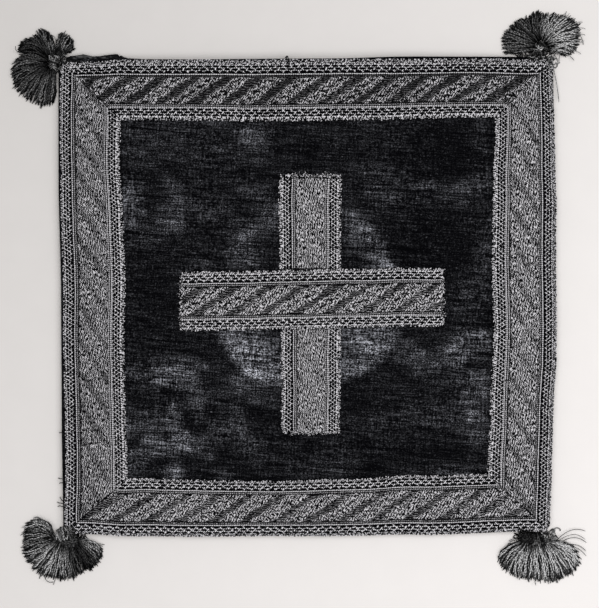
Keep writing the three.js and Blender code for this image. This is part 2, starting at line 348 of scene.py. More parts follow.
def thread_fields(made, count, steps, sides):
    """A map with a small square for each thread of a piece made by tubes alone."""
    side = math.ceil(math.sqrt(count))
    k, m = np.meshgrid(np.arange(steps - 1), np.arange(sides), indexing="ij")
    u = np.stack([m, m + 1, m + 1, m], 2).reshape(-1) / sides
    v = np.stack([k, k, k + 1, k + 1], 2).reshape(-1) / (steps - 1)
    cap = 2 * math.pi * np.arange(sides) / sides
    u = np.concatenate([0.06 + 0.84 * u, 0.95 + 0.03 * np.cos(cap), 0.95 + 0.03 * np.cos(cap)])
    v = np.concatenate([0.04 + 0.92 * v, 0.1 + 0.03 * np.sin(cap), 0.9 + 0.03 * np.sin(cap)])
    number = np.arange(count)[:, None]
    pairs = np.stack([(number % side + u) / side, (number // side + v) / side], 2)
    layer = made.data.uv_layers.new(name="OFBake")
    layer.uv.foreach_set("vector", pairs.astype(np.float32).ravel())


def curve(corners, steps):
    """Smooth paths from four corners each."""
    u = np.linspace(0, 1, steps)[None, :, None]
    a, b, c, d = (corners[:, None, k] for k in range(4))
    return (1 - u) ** 3 * a + 3 * u * (1 - u) ** 2 * b + 3 * u**2 * (1 - u) * c + u**3 * d


# ---- Materials ----


class Finish:
    """A material under way: short ways to add its nodes and join them."""

    def __init__(self, name, values):
        self.material = bpy.data.materials.new(name)
        self.material.use_nodes = True
        self.tree = self.material.node_tree
        self.shader = self.tree.nodes["Principled BSDF"]
        for socket, value in values.items():
            self.shader.inputs[socket].default_value = value

    def node(self, kind, inputs=None, **settings):
        made = self.tree.nodes.new(kind)
        for name, value in settings.items():
            setattr(made, name, value)
        for name, value in (inputs or {}).items():
            self.feed(made.inputs[name], value)
        return made

    def feed(self, socket, value):
        if isinstance(value, bpy.types.NodeSocket):
            self.tree.links.new(value, socket)
        else:
            socket.default_value = value

    def math(self, operation, a, b=0.0):
        return self.node("ShaderNodeMath", {0: a, 1: b}, operation=operation).outputs[0]

    def weighted(self, *pairs):
        """The sum of values, each times its weight."""
        total = 0.0
        for value, weight in pairs:
            total = self.node(
                "ShaderNodeMath", {0: value, 1: weight, 2: total}, operation="MULTIPLY_ADD"
            ).outputs[0]
        return total

    def attribute(self, name):
        return self.node("ShaderNodeAttribute", attribute_name=name).outputs["Fac"]

    def surface(self, map_name):
        return self.node("ShaderNodeUVMap", uv_map=map_name).outputs["UV"]

    def object(self):
        return self.node("ShaderNodeTexCoord").outputs["Object"]

    def noise(self, vector, per_unit, detail=2.0, turn=0.0, shift=0.0):
        """Noise whose cells, turned, are one unit over each of per_unit."""
        sizes = [1 / count for count in per_unit]
        placed = self.node(
            "ShaderNodeMapping", {"Vector": vector, "Scale": sizes}, vector_type="TEXTURE"
        )
        placed.inputs["Rotation"].default_value[2] = turn
        placed.inputs["Location"].default_value[2] = shift
        return self.node(
            "ShaderNodeTexNoise",
            {"Vector": placed.outputs[0], "Scale": 1.0, "Detail": detail},
        ).outputs[0]

    def blend(self, share, low, high):
        """A colour between two, at a share."""
        made = self.node("ShaderNodeMix", data_type="RGBA")
        self.feed(made.inputs["Factor"], share)
        self.feed(made.inputs["A"], low)
        self.feed(made.inputs["B"], high)
        made.clamp_factor = True
        return made.outputs["Result"]

    def choose(self, share, low, high):
        """A value between two, at a share."""
        return self.node("ShaderNodeMix", {0: share, 2: low, 3: high}).outputs[0]

    def ranged(self, value, low, high):
        """0 up to the low value, and 1 from the high one."""
        return self.node("ShaderNodeMapRange", {0: value, 1: low, 2: high}).outputs[0]

    def bump(self, height, distance):
        made = self.node("ShaderNodeBump", {"Height": height, "Distance": distance, "Strength": 1.0})
        self.feed(self.shader.inputs["Normal"], made.outputs[0])


GREY_POWER = 2.2  # from a level of grey to light


def linear(level, tint=(1.0, 1.0, 1.0)):
    """A colour of that level of grey from 0 to 255 on a screen, with a tint, as light."""
    share = level / 255
    value = share / 12.92 if share <= 0.04045 else ((share + 0.055) / 1.055) ** 2.4
    return (value * tint[0], value * tint[1], value * tint[2], 1.0)


# ---- The user's sizes and colours ----


def length(name, description, default_mm):
    return bpy.props.FloatProperty(
        name=name, description=description, default=default_mm * MM, unit="LENGTH", precision=5
    )


def share(name, description, default):
    return bpy.props.FloatProperty(
        name=name, description=description, default=default, min=0, max=10, subtype="FACTOR"
    )


def colour(name, description, level, tint=(1.0, 1.0, 1.0)):
    return bpy.props.FloatVectorProperty(
        name=name,
        description=description,
        default=linear(level, tint),
        size=4,
        min=0,
        max=1,
        subtype="COLOR",
    )


class BurseGalloon(bpy.types.PropertyGroup):
    """The woven galloon: its openwork, its stripes and its thread."""

    hole_pitch: length("Hole Pitch", "From hole to hole along the openwork", 4.07)
    stripe_period: length("Stripe Period", "From dark stripe to dark stripe along the band", 17.3)
    stripe_angle: bpy.props.FloatProperty(
        name="Stripe Angle",
        description="Angle between the stripes and the galloon's length",
        default=math.radians(35.7),
        subtype="ANGLE",
    )
    dark: colour("Ground", "Colour of the ground silk", 9, (0.98, 0.98, 1.2))
    light: colour("Thread", "Colour of the pale thread", 242, (1.0, 0.985, 1.03))


class BurseVelvet(bpy.types.PropertyGroup):
    """The velvet of the front panel."""

    step: length("Pile Step", "Distance between the mesh's points on the velvet field", 1.28)
    deep: colour("Deep Pile", "Colour of the fresh pile", 6, (0.97, 0.95, 1.3))
    paled: colour("Worn Pile", "Colour where the pile is worn flat", 255, (0.88, 0.9, 1.0))


class BurseCloth(bpy.types.PropertyGroup):
    """The plain cloth of the back panel and the pocket's lining."""

    thread: length("Thread", "Distance from thread to thread in the plain weave", 0.45)
    tone: colour("Cloth", "Colour of the plain cloth", 18, (0.95, 1.0, 1.1))


class BurseTassels(bpy.types.PropertyGroup):
    """The tassels' threads."""

    thread: length("Thread Diameter", "Diameter of one twisted thread", 0.6)
    dark: colour("Dark Thread", "Colour of a dark thread", 7, (0.98, 0.98, 1.08))
    light: colour("Light Thread", "Colour of a light thread", 235, (1.0, 1.0, 1.01))


class BurseStage(bpy.types.PropertyGroup):
    """The floor, the lamps and the camera."""

    lens: bpy.props.FloatProperty(
        name="Lens", description="Focal length", default=120, unit="CAMERA"
    )
    view: length("View Height", "Height of the field of view on the burse", 313.1)
    # Painted light: the floor's colour runs between these two as the light falls off across it.
    floor_far_shaded: colour("Far Floor", "Colour of the floor at the far left", 211, (1.0, 0.965, 0.94))
    floor_near_lit: colour("Near Floor", "Colour of the floor at the near right", 255, (1.0, 0.965, 0.95))
    key: share("Key Light", "Light of the lamp on the right", 0.36)
    fill: share("Fill Light", "Light of the lamp overhead", 0.5)
    ambient: share("Ambient Light", "Light from all round", 0.22)


# ---- The plain cloth: back panel and lining ----


def cloth_finish(sizes):
    finish = Finish("plain_cloth", {"Roughness": 0.92, "Specular IOR Level": 0.04})
    at = finish.object()
    parts = finish.node("ShaderNodeSeparateXYZ", {0: at})
    turn = 2 * math.pi / sizes.thread
    warp = finish.math("SINE", finish.math("MULTIPLY", parts.outputs["X"], turn))
    weft = finish.math("SINE", finish.math("MULTIPLY", parts.outputs["Y"], turn))
    weave = finish.math("MULTIPLY", warp, weft)
    slubs = finish.noise(at, (90.0, 900.0, 300.0), detail=3.0)
    clouds = finish.noise(at, (25.0, 25.0, 25.0), detail=3.0)
    fold_highlight = finish.attribute("fold_highlight")
    tone = finish.weighted((weave, 0.18), (slubs, 0.7), (clouds, 0.6))
    low = tuple(0.35 * value for value in sizes.tone[:3]) + (1.0,)
    high = tuple(1.9 * value for value in sizes.tone[:3]) + (1.0,)
    plain = finish.blend(tone, low, high)
    # Painted highlight: the lip's fold crests are blended towards white.
    paled = finish.blend(finish.math("MULTIPLY", fold_highlight, 0.1), plain, (1.0, 1.0, 1.0, 1.0))
    finish.feed(finish.shader.inputs["Base Color"], paled)
    finish.bump(finish.weighted((weave, 0.5), (slubs, 0.6)), 0.12 * MM)
    return finish.material


# The lining's edge sticks out of the pocket's mouth near one corner: places along the panel's top,
# and how far up the edge reaches there, in millimetres.
LIP = (
    (-125.5, 122.4), (-124.1, 123.9), (-122.1, 124.5), (-119.0, 124.8), (-115.9, 125.3),
    (-113.8, 125.1), (-110.7, 124.3), (-108.2, 124.4), (-105.1, 124.8), (-102.5, 125.2),
    (-99.9, 125.5), (-97.7, 125.4), (-97.0, 124.3), (-95.9, 124.8), (-94.5, 123.8),
    (-92.7, 123.4), (-90.6, 122.8),
)
# Round the lip, from its hidden root over the top: its share out, and its height in millimetres.
LIP_ROUND = (
    (0.0, 2.5), (0.2, 3.1), (0.42, 3.5), (0.55, 4.5), (0.7, 5.0), (0.85, 5.0),
    (0.95, 4.7), (1.0, 4.1), (0.98, 3.4), (0.9, 2.8), (0.7, 2.45), (0.3, 2.42),
)
LIP_ROOT = 120.6
LIP_FLOOR = 2.42
LIP_STEPS = 150


def lip_of_lining(first):
    """Points and faces of the lining's lip, with its folds, and the painted highlight on each point's
    fold crest.
    """
    along = np.linspace(LIP[0][0], LIP[-1][0], LIP_STEPS)
    sides = len(LIP_ROUND)
    x = np.repeat(along, sides)
    share, high = np.tile(np.array(LIP_ROUND).T, len(along))
    reach = np.interp(x, *zip(*LIP)) - LIP_ROOT
    folds = noise(x, share * reach, 5.0, 31, cell_y=0.75, turn=math.radians(-24))
    folds = 0.7 * folds + 0.3 * noise(x, share * reach, 1.3, 32, cell_y=0.6)
    outside = smooth((share - 0.4) / 0.2) * (high > 3)
    taper = smooth((x - along[0]) / 3) * smooth((along[-1] - x) / 4)
    y = LIP_ROOT + share * reach + 0.2 * (noise(x, 0 * x, 1.1, 33) - 0.5) * outside
    z = LIP_FLOOR + (high - LIP_FLOOR) * (0.3 + 0.7 * taper) + 1.3 * (folds - 0.5) * outside
    faces = []
    for i in range(len(along) - 1):
        for k in range(sides):
            a, b = first + i * sides + k, first + i * sides + (k + 1) % sides
            faces.append((b, a, a + sides, b + sides))
    faces.append(tuple(first + k for k in range(sides)))
    faces.append(tuple(first + (len(along) - 1) * sides + k for k in range(sides))[::-1])
    # Painted highlight: the crests of the lip's folds are made paler.
    light = outside * smooth((folds - 0.45) / 0.3) * smooth((0.97 - share) / 0.12)
    return np.stack([x, y, z], 1) * MM, faces, light


def add_to(made, points, faces):
    """Adds more points and faces to a piece. The faces count the piece's own points first."""
    shape = bmesh.new()
    shape.from_mesh(made.data)
    for point in points:
        shape.verts.new(point)
    shape.verts.ensure_lookup_table()
    for face in faces:
        shape.faces.new([shape.verts[k] for k in face]).smooth = True
    shape.to_mesh(made.data)
    shape.free()


class OBJECT_OT_burse_back(bpy.types.Operator):
    """Make the back panel, a board in plain dark cloth"""

    bl_idname = "object.burse_back"
    bl_label = "Back Panel"

    COLUMNS, ROWS = 86, 84

    def execute(self, context):
        made = slab(
            "back_panel_cloth",
            "back_panel",
            np.linspace(0, 1, self.COLUMNS),
            np.linspace(0, 1, self.ROWS),
            cloth_finish(context.scene.burse_cloth),
        )
        first = len(made.data.vertices)
        points, faces, light = lip_of_lining(first)
        add_to(made, points, faces)
        give(made, "fold_highlight", np.concatenate([np.zeros(first), light]))
        return {"FINISHED"}


def drawn_in(values):
    """Places drawn in towards their middle: a board's face starts a little in from its edge."""
    face_in = 0.9 * MM
    middle = values.mean()
    return middle + (values - middle) * (1 - face_in / np.abs(values - middle).max())


def slab(name, node, us, vs, material, relief=None, under_material=None):
    """A cloth-covered board in its frame node's place, with columns and rows of points at shares
    us and vs of its width and height. Its edges are turned over softly."""
    columns, rows = len(us), len(vs)
    u, v = [a.ravel() for a in np.meshgrid(us, vs)]
    x, y = Outline(node).place(u, v)
    high, low = Heights(node).at(x, y), Heights(node, underside=True).at(x, y)
    face_x, face_y = drawn_in(x), drawn_in(y)
    raised = high + relief(face_x, face_y) if relief else high
    points = [np.stack([face_x, face_y, raised], 1), np.stack([face_x, face_y, low], 1)]
    layer = columns * rows
    faces = grid_faces(columns, rows)
    upper = len(faces)
    faces += grid_faces(columns, rows, layer, flip=True)

    rim = np.array(rim_of(columns, rows))
    middle, half = 0.5 * (high[rim] + low[rim]), 0.5 * (high[rim] - low[rim])
    rings = [rim]
    first = 2 * layer
    for angle in np.radians([60, 30, 0, -30, -60]):
        out, up = math.cos(angle), math.sin(angle)
        ring_x = face_x[rim] + (x[rim] - face_x[rim]) * out
        ring_y = face_y[rim] + (y[rim] - face_y[rim]) * out
        points.append(np.stack([ring_x, ring_y, middle + half * up], 1))
        rings.append(np.arange(first, first + len(rim)))
        first += len(rim)
    rings.append(rim + layer)
    for above, below in zip(rings, rings[1:]):
        faces += band_between(above.tolist(), below.tolist())

    made = piece(name, np.concatenate(points), faces, material, [node])
    if under_material:
        made.data.materials.append(under_material)
        index = np.zeros(len(made.data.polygons), np.int32)
        index[upper : 2 * upper] = 1
        made.data.polygons.foreach_set("material_index", index)
    return made


# ---- The velvet ----

# Where the pile is pale or dark: each patch's middle, half its width and height, its turn and how
# much lighter it is, in levels of grey.
WEAR = (
    # The left of the panel, from the top down.
    (-75, 80, 34, 14, 4, 9), (-27, 83, 11, 8, 0, 24), (-30, 71, 12, 6, 0, 8),
    (-91, 60, 9, 9, 0, 8), (-91, 47, 8, 13, 0, 24), (-68, 47, 9, 13, 0, 21),
    (-50, 44, 12, 9, 10, 10), (-24, 50, 9, 7, 0, 12), (-80, 34, 16, 7, 5, 14),
    (-33, 36, 9, 6, 0, 12), (-58, 14, 10, 4, 0, 14), (-80, 2, 16, 18, 0, -4),
    (-24, -52, 10, 5, -20, 16), (-22, -61, 12, 8, 0, -5), (-72, -38, 20, 7, 3, 24),
    (-62, -45, 14, 7, -20, 16), (-68, -62, 4.5, 13, 5, 26), (-80, -64, 8, 9, 0, 12),
    (-61, -72, 5, 5, 0, -11), (-35, -45, 9, 6, 35, 24), (-57, -56, 5, 9, 15, 20),
    (-36, -62, 4, 11, 8, 16), (-94, -67, 9, 9, 0, 22), (-74, -77, 17, 6, 4, 27),
    (-57, -77, 9, 7, -20, 22), (-46, -70, 9, 5, -25, 16), (-91, -86, 8, 7, 0, 18),
    (-67, -90, 5, 7, 0, 36), (-43, -91, 6, 5, 0, 20), (-29, -78, 9, 5, 0, 12),
    (-42, -84, 7, 6, 0, -6), (26, -54, 8, 6, 0, -5),
    # The right of the panel.
    (-2, 74, 14, 7, 0, -5), (36, 63, 8, 5, 0, 10), (40, 53, 9, 7, 10, 16),
    (60, 57, 9, 5, 0, 14), (83, 57, 14, 5, 5, 16), (76, 50, 10, 5, 0, 10),
    (70, 74, 20, 16, 0, -8), (66, 28, 20, 20, 0, -7), (91, 20, 6, 22, 0, 8),
    (90, 80, 8, 9, 0, 6), (50, -27, 10, 5, 0, 16), (68, -33, 14, 7, 5, 24),
    (84, -24, 13, 9, 0, 26), (84, -1, 9, 12, 0, 10), (80, -42, 14, 6, 10, 12),
    (89, -50, 7, 14, 0, 24), (88, -68, 8, 9, 0, 20), (56, -62, 30, 7, 4, 9),
    (10, -88, 20, 6, 4, 12), (72, -91, 14, 5, 5, 16), (34, -88, 10, 7, 0, -8),
    (72, -79, 14, 6, 0, -6),
)
PILE_LEVEL = 19  # the unworn pile's level of grey
# The ring that something round has worn: its middle in millimetres. Then, round it from the right,
# how much lighter it is at that angle, the radius at which it starts and the one at which it fades.
RING = (-0.6, 2.1)
RING_WEAR = (
    (0, 24, 28, 45), (14, 42, 28, 44), (26, 34, 30, 43), (38, 30, 30, 45),
    (48, 33, 28, 46), (58, 24, 28, 46), (66, 4, 36, 43), (85, 20, 30, 44),
    (112, 27, 28, 44), (126, 8, 24, 44), (138, 18, 22, 43), (152, 32, 22, 41),
    (164, 2, 26, 39), (188, 28, 26, 44), (206, 38, 20, 46), (218, 50, 16, 47),
    (232, 52, 16, 49), (244, 44, 20, 50), (258, 36, 22, 46), (282, 25, 24, 44),
    (300, 33, 22, 46), (314, 46, 14, 48), (328, 44, 12, 49), (342, 38, 14, 48),
    (360, 24, 28, 45),
)
RING_FADE = 7  # millimetres
DARKEST_PILE = 8  # in levels of grey


def wear_at(x, y):
    """How pale the pile is, as a share of a white's level."""
    total = np.full_like(x, PILE_LEVEL)
    ragged = 0.55 * (noise(x, y, 9 * MM, 21) - 0.5) + 0.45 * (noise(x, y, 3.5 * MM, 22) - 0.5)
    for wx, wy, wide, high, turn, strength in WEAR:
        c, s = math.cos(math.radians(turn)), math.sin(math.radians(turn))
        dx, dy = x / MM - wx, y / MM - wy
        u, v = (dx * c + dy * s) / wide, (dy * c - dx * s) / high
        total += 0.93 * strength * smooth(1.4 - np.hypot(u, v) + ragged)
    dx, dy = x / MM - RING[X], y / MM - RING[Y]
    away = np.hypot(dx, dy) + 3.5 * ragged
    angle = np.degrees(np.arctan2(dy, dx)) % 360
    degrees, light, start, end = zip(*RING_WEAR)
    start, end = np.interp(angle, degrees, start), np.interp(angle, degrees, end)
    rise, fall = smooth((away - start) / (end - start)), smooth((end + RING_FADE - away) / RING_FADE)
    patchy = 0.85 + 0.3 * noise(x, y, 14 * MM, 23, cell_y=2.5 * MM)
    total += np.interp(angle, degrees, light) * rise * fall * patchy
    return np.maximum(total, DARKEST_PILE) / 255


def velvet_finish(sizes):
    finish = Finish(
        "worn_velvet",
        {
            "Roughness": 1.0,
            "Specular IOR Level": 0.0,
            "Sheen Weight": 0.01,
            "Sheen Roughness": 0.5,
        },
    )
    at = finish.object()
    rise = math.radians(-4)
    rows = finish.noise(at, (60.0, 900.0, 200.0), detail=3.0, turn=rise)
    lines = finish.noise(at, (110.0, 1500.0, 300.0), detail=0.0, turn=rise, shift=6.0)
    ends = finish.noise(at, (1450.0, 140.0, 200.0), detail=1.0, turn=rise, shift=3.0)
    speckle = finish.noise(at, (1450.0, 1650.0, 400.0), detail=1.0, turn=rise)
    # Painted shade: thin dark streaks where the pile is creased.
    crease_shade = finish.noise(at, (16.0, 420.0, 100.0), detail=2.0, turn=rise, shift=15.0)
    crease_shade = finish.math("MINIMUM", finish.math("SUBTRACT", crease_shade, 0.4), 0.0)
    clouds = finish.noise(at, (70.0, 320.0, 100.0), detail=3.0, turn=rise, shift=8.0)
    uneven = finish.weighted((clouds, 1.5), (1.0, 0.3))
    # The wear attribute holds the pile's wear, with painted shade at the rim and under the galloon.
    level = finish.math("MULTIPLY", finish.attribute("wear_and_painted_shade"), uneven)
    swing = finish.weighted((speckle, 6.4), (lines, 2.8), (rows, 1.6), (ends, 2.6), (crease_shade, 9.0))
    swing = finish.weighted((swing, 1.0), (1.0, -5.55))
    tone = finish.math("MULTIPLY", level, finish.math("MAXIMUM", swing, 0.1))
    dust = finish.noise(at, (800.0, 1100.0, 400.0), detail=1.0, shift=30.0)
    dust = finish.math("MAXIMUM", finish.math("SUBTRACT", dust, 0.58), 0.0)
    tone = finish.math("MAXIMUM", finish.weighted((tone, 1.0), (dust, 0.9)), 0.0)
    tone = finish.math("POWER", tone, GREY_POWER)
    finish.feed(finish.shader.inputs["Base Color"], finish.blend(tone, sizes.deep, sizes.paled))
    finish.bump(finish.weighted((rows, 0.7), (speckle, 0.6)), 0.3 * MM)
    return finish.material


def pile_relief(x, y):
    """The pile's soft rows and tufts."""
    rows = noise(x, y, 9 * MM, 11, cell_y=1.6 * MM, turn=math.radians(4))
    tufts = noise(x, y, 2.2 * MM, 12)
    return 0.24 * MM * (0.6 * rows + 0.4 * tufts - 0.7)


class OBJECT_OT_burse_velvet(bpy.types.Operator):
    """Make the front panel, a board in black velvet with worn patches"""

    bl_idname = "object.burse_velvet"
    bl_label = "Velvet Panel"

    def execute(self, context):
        sizes = context.scene.burse_velvet
        low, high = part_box("front_panel")
        made = slab(
            "velvet_panel",
            "front_panel",
            self.lines(high.x - low.x, sizes.step),
            self.lines(high.y - low.y, sizes.step),
            velvet_finish(sizes),
            pile_relief,
            under_material=bpy.data.materials["plain_cloth"],
        )
        x, y, _ = np.array([v.co for v in made.data.vertices]).T
        # Painted shade: the pile darkens towards the panel's rim, where the velvet turns over the
        # board's edge.
        rim = smooth(0.15 + self.inside("front_panel", x, y) / (3 * MM))
        give(made, "wear_and_painted_shade", wear_at(x, y) * rim * self.bare(x, y))
        return {"FINISHED"}

    @staticmethod
    def lines(long, step):
        """Shares along a side for the mesh's lines: coarse under the galloon, and fine between."""
        margin = GALLOON_WIDTH * MM
        fine = np.arange(margin, long - margin, step)
        coarse = np.linspace(0, margin, 9)[:-1]
        return np.concatenate([coarse, fine, long - coarse[::-1]]) / long

    @staticmethod
    def inside(node, x, y):
        """How far each place lies inside a frame node's box."""
        low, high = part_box(node)
        return np.minimum(np.minimum(x - low.x, high.x - x), np.minimum(y - low.y, high.y - y))

    def bare(self, x, y):
        """The share of its paleness that the pile keeps: it is unworn under the galloon, and darkened
        there also as painted shade of the galloon over it.
        """
        hidden = np.zeros_like(x)
        for node in STRIPS:
            hidden = np.maximum(hidden, smooth((self.inside(node, x, y) - 1.5 * MM) / (2 * MM)))
        return 1 - 0.7 * hidden


# ---- The galloon ----

# A length of galloon laid out flat, in millimetres: along it is s, and across it is t. Across it,
# from its first edge to its second, come nine zones: a looped edge, openwork, a bright line, a
# second line, the striped band, and the same again the other way about.
EDGES, OPENWORKS, LINES, BAND = (0, 8), (1, 7), (2, 3, 5, 6), 4
PICKS = {1: 7, 2: 4}  # of thread from hole to hole, for one or two holes in a pitch
WHOLE = 9.0  # the height of a point that isn't at a hole
HOLE_RINGS = ((1.2, 0.75), (1.0, 0.1))  # round a hole: its share of the hole's size, and its height
SINK = 0.25 * MM  # the galloon's lowest threads press this far into the pile

# How each length was woven and laid, and the light and shade painted on it.
#   lean, straight: which way its stripes run, and how far its threads run straight along it
#   contrast, dots: how dark its dark stripes and its dots are; the stripes' darkness differs from
#       length
#   to length partly as painted sheen along the threads
#   level, open, rough: how light its band is, and its openwork and lines, and how uneven its thread;
#       the
#   lightness is painted light and shade, set for each length by how the light falls along it
#   edges, loops: the widths of its looped edges, and how far their loops stand out
#   outer: its first edge is the burse's outer one, which has no bright cord
#   holes, hole: how many holes a pitch has, and how long and wide they are
#   second: how bright the second line is at each side
#   slip: places along it, and how far its stripes are moved back there
#   inset: places along it, and how far in from its frame node's edge it was laid
#   tucked: where its first edge is tucked in, over what half length, and how far
#   frayed: how many threads are frayed at each cut end
#   covered, groove: the stretch that another length covers, darkened there as painted shade, and where
#       it was sewn down
LEVEL_WEAVE = {"straight": 0.0, "rough": 0.5, "holes": 1}
UPRIGHT_WEAVE = {"holes": 2, "hole": (1.35, 1.0), "slip": ((0, 0),)}
IN_FRAME = {"outer": True, "tucked": (0, 1, 0), "frayed": 0}
IN_CROSS = {"outer": False, "tucked": (0, 1, 0), "frayed": 70, "open": 1.08}
STRIPS = {
    "galloon_top": {
        **LEVEL_WEAVE,
        **IN_FRAME,
        "lean": -1,
        "contrast": 0.68,
        "dots": 1.0,
        "level": 0.65,
        "open": 0.84,
        "edges": (2.7, 1.6),
        "loops": (0.15, 0.55),
        "hole": (2.7, 1.0),
        "second": (0.2, 0.6),
        "slip": ((-76, -1.0), (-20, 1.5), (30, 1.5), (68, 4.1)),
        "inset": ((-100, 0.6), (-80, 1.1), (10, 1.3), (50, 1.6), (90, 1.4)),
        "tucked": (-114, 13, 0.8),
    },
    "galloon_bottom": {
        **LEVEL_WEAVE,
        **IN_FRAME,
        "lean": 1,
        "contrast": 0.66,
        "dots": 0.7,
        "level": 0.95,
        "open": 1.30,
        "edges": (1.3, 0.9),
        "loops": (0.2, 0.6),
        "hole": (2.5, 0.9),
        "second": (0.3, 0.5),
        "slip": ((-71, 5.2), (-43, 6.9), (0, 9.2), (75, 9.0)),
        "inset": ((0, 0),),
    },
    "galloon_left": {
        **UPRIGHT_WEAVE,
        **IN_FRAME,
        "lean": -1,
        "contrast": 0.37,
        "dots": 0.3,
        "straight": 0.6,
        "level": 0.74,
        "open": 0.95,
        "rough": 0.42,
        "edges": (1.2, 1.7),
        "loops": (0.1, 0.55),
        "second": (0.6, 0.9),
        "inset": ((-110, 0.9), (-95, 1.3), (-60, 1.9), (-40, 1.5), (-20, 1.0), (0, 1.3), (90, 1.0)),
    },
    "galloon_right": {
        **UPRIGHT_WEAVE,
        **IN_FRAME,
        "lean": 1,
        "contrast": 0.5,
        "dots": 0.3,
        "straight": 0.6,
        "level": 0.97,
        "open": 1.04,
        "rough": 0.45,
        "edges": (1.95, 1.6),
        "loops": (0.2, 0.55),
        "second": (0.4, 0.9),
        "inset": ((80, 0), (110, -0.4)),
    },
    "cross_upright": {
        **UPRIGHT_WEAVE,
        **IN_CROSS,
        "lean": 1,
        "contrast": 0.52,
        "dots": 0.2,
        "straight": 0.75,
        "level": 1.18,
        "rough": 0.52,
        "edges": (1.5, 1.5),
        "loops": (0.6, 0.6),
        "second": (0.7, 0.8),
        "inset": ((0, 0.4),),
        "covered": (-17.5, 16.0),
        "groove": 61.2,
    },
    "cross_bar": {
        **LEVEL_WEAVE,
        **IN_CROSS,
        "lean": -1,
        "contrast": 0.72,
        "dots": 1.0,
        "level": 0.95,
        "edges": (1.2, 1.1),
        "loops": (0.5, 0.5),
        "hole": (2.5, 0.92),
        "second": (0.6, 0.5),
        "slip": ((-47, -2.1), (-24, -3.1), (14, -2.1), (45, -2.0)),
        "inset": ((0, 1.0),),
    },
}


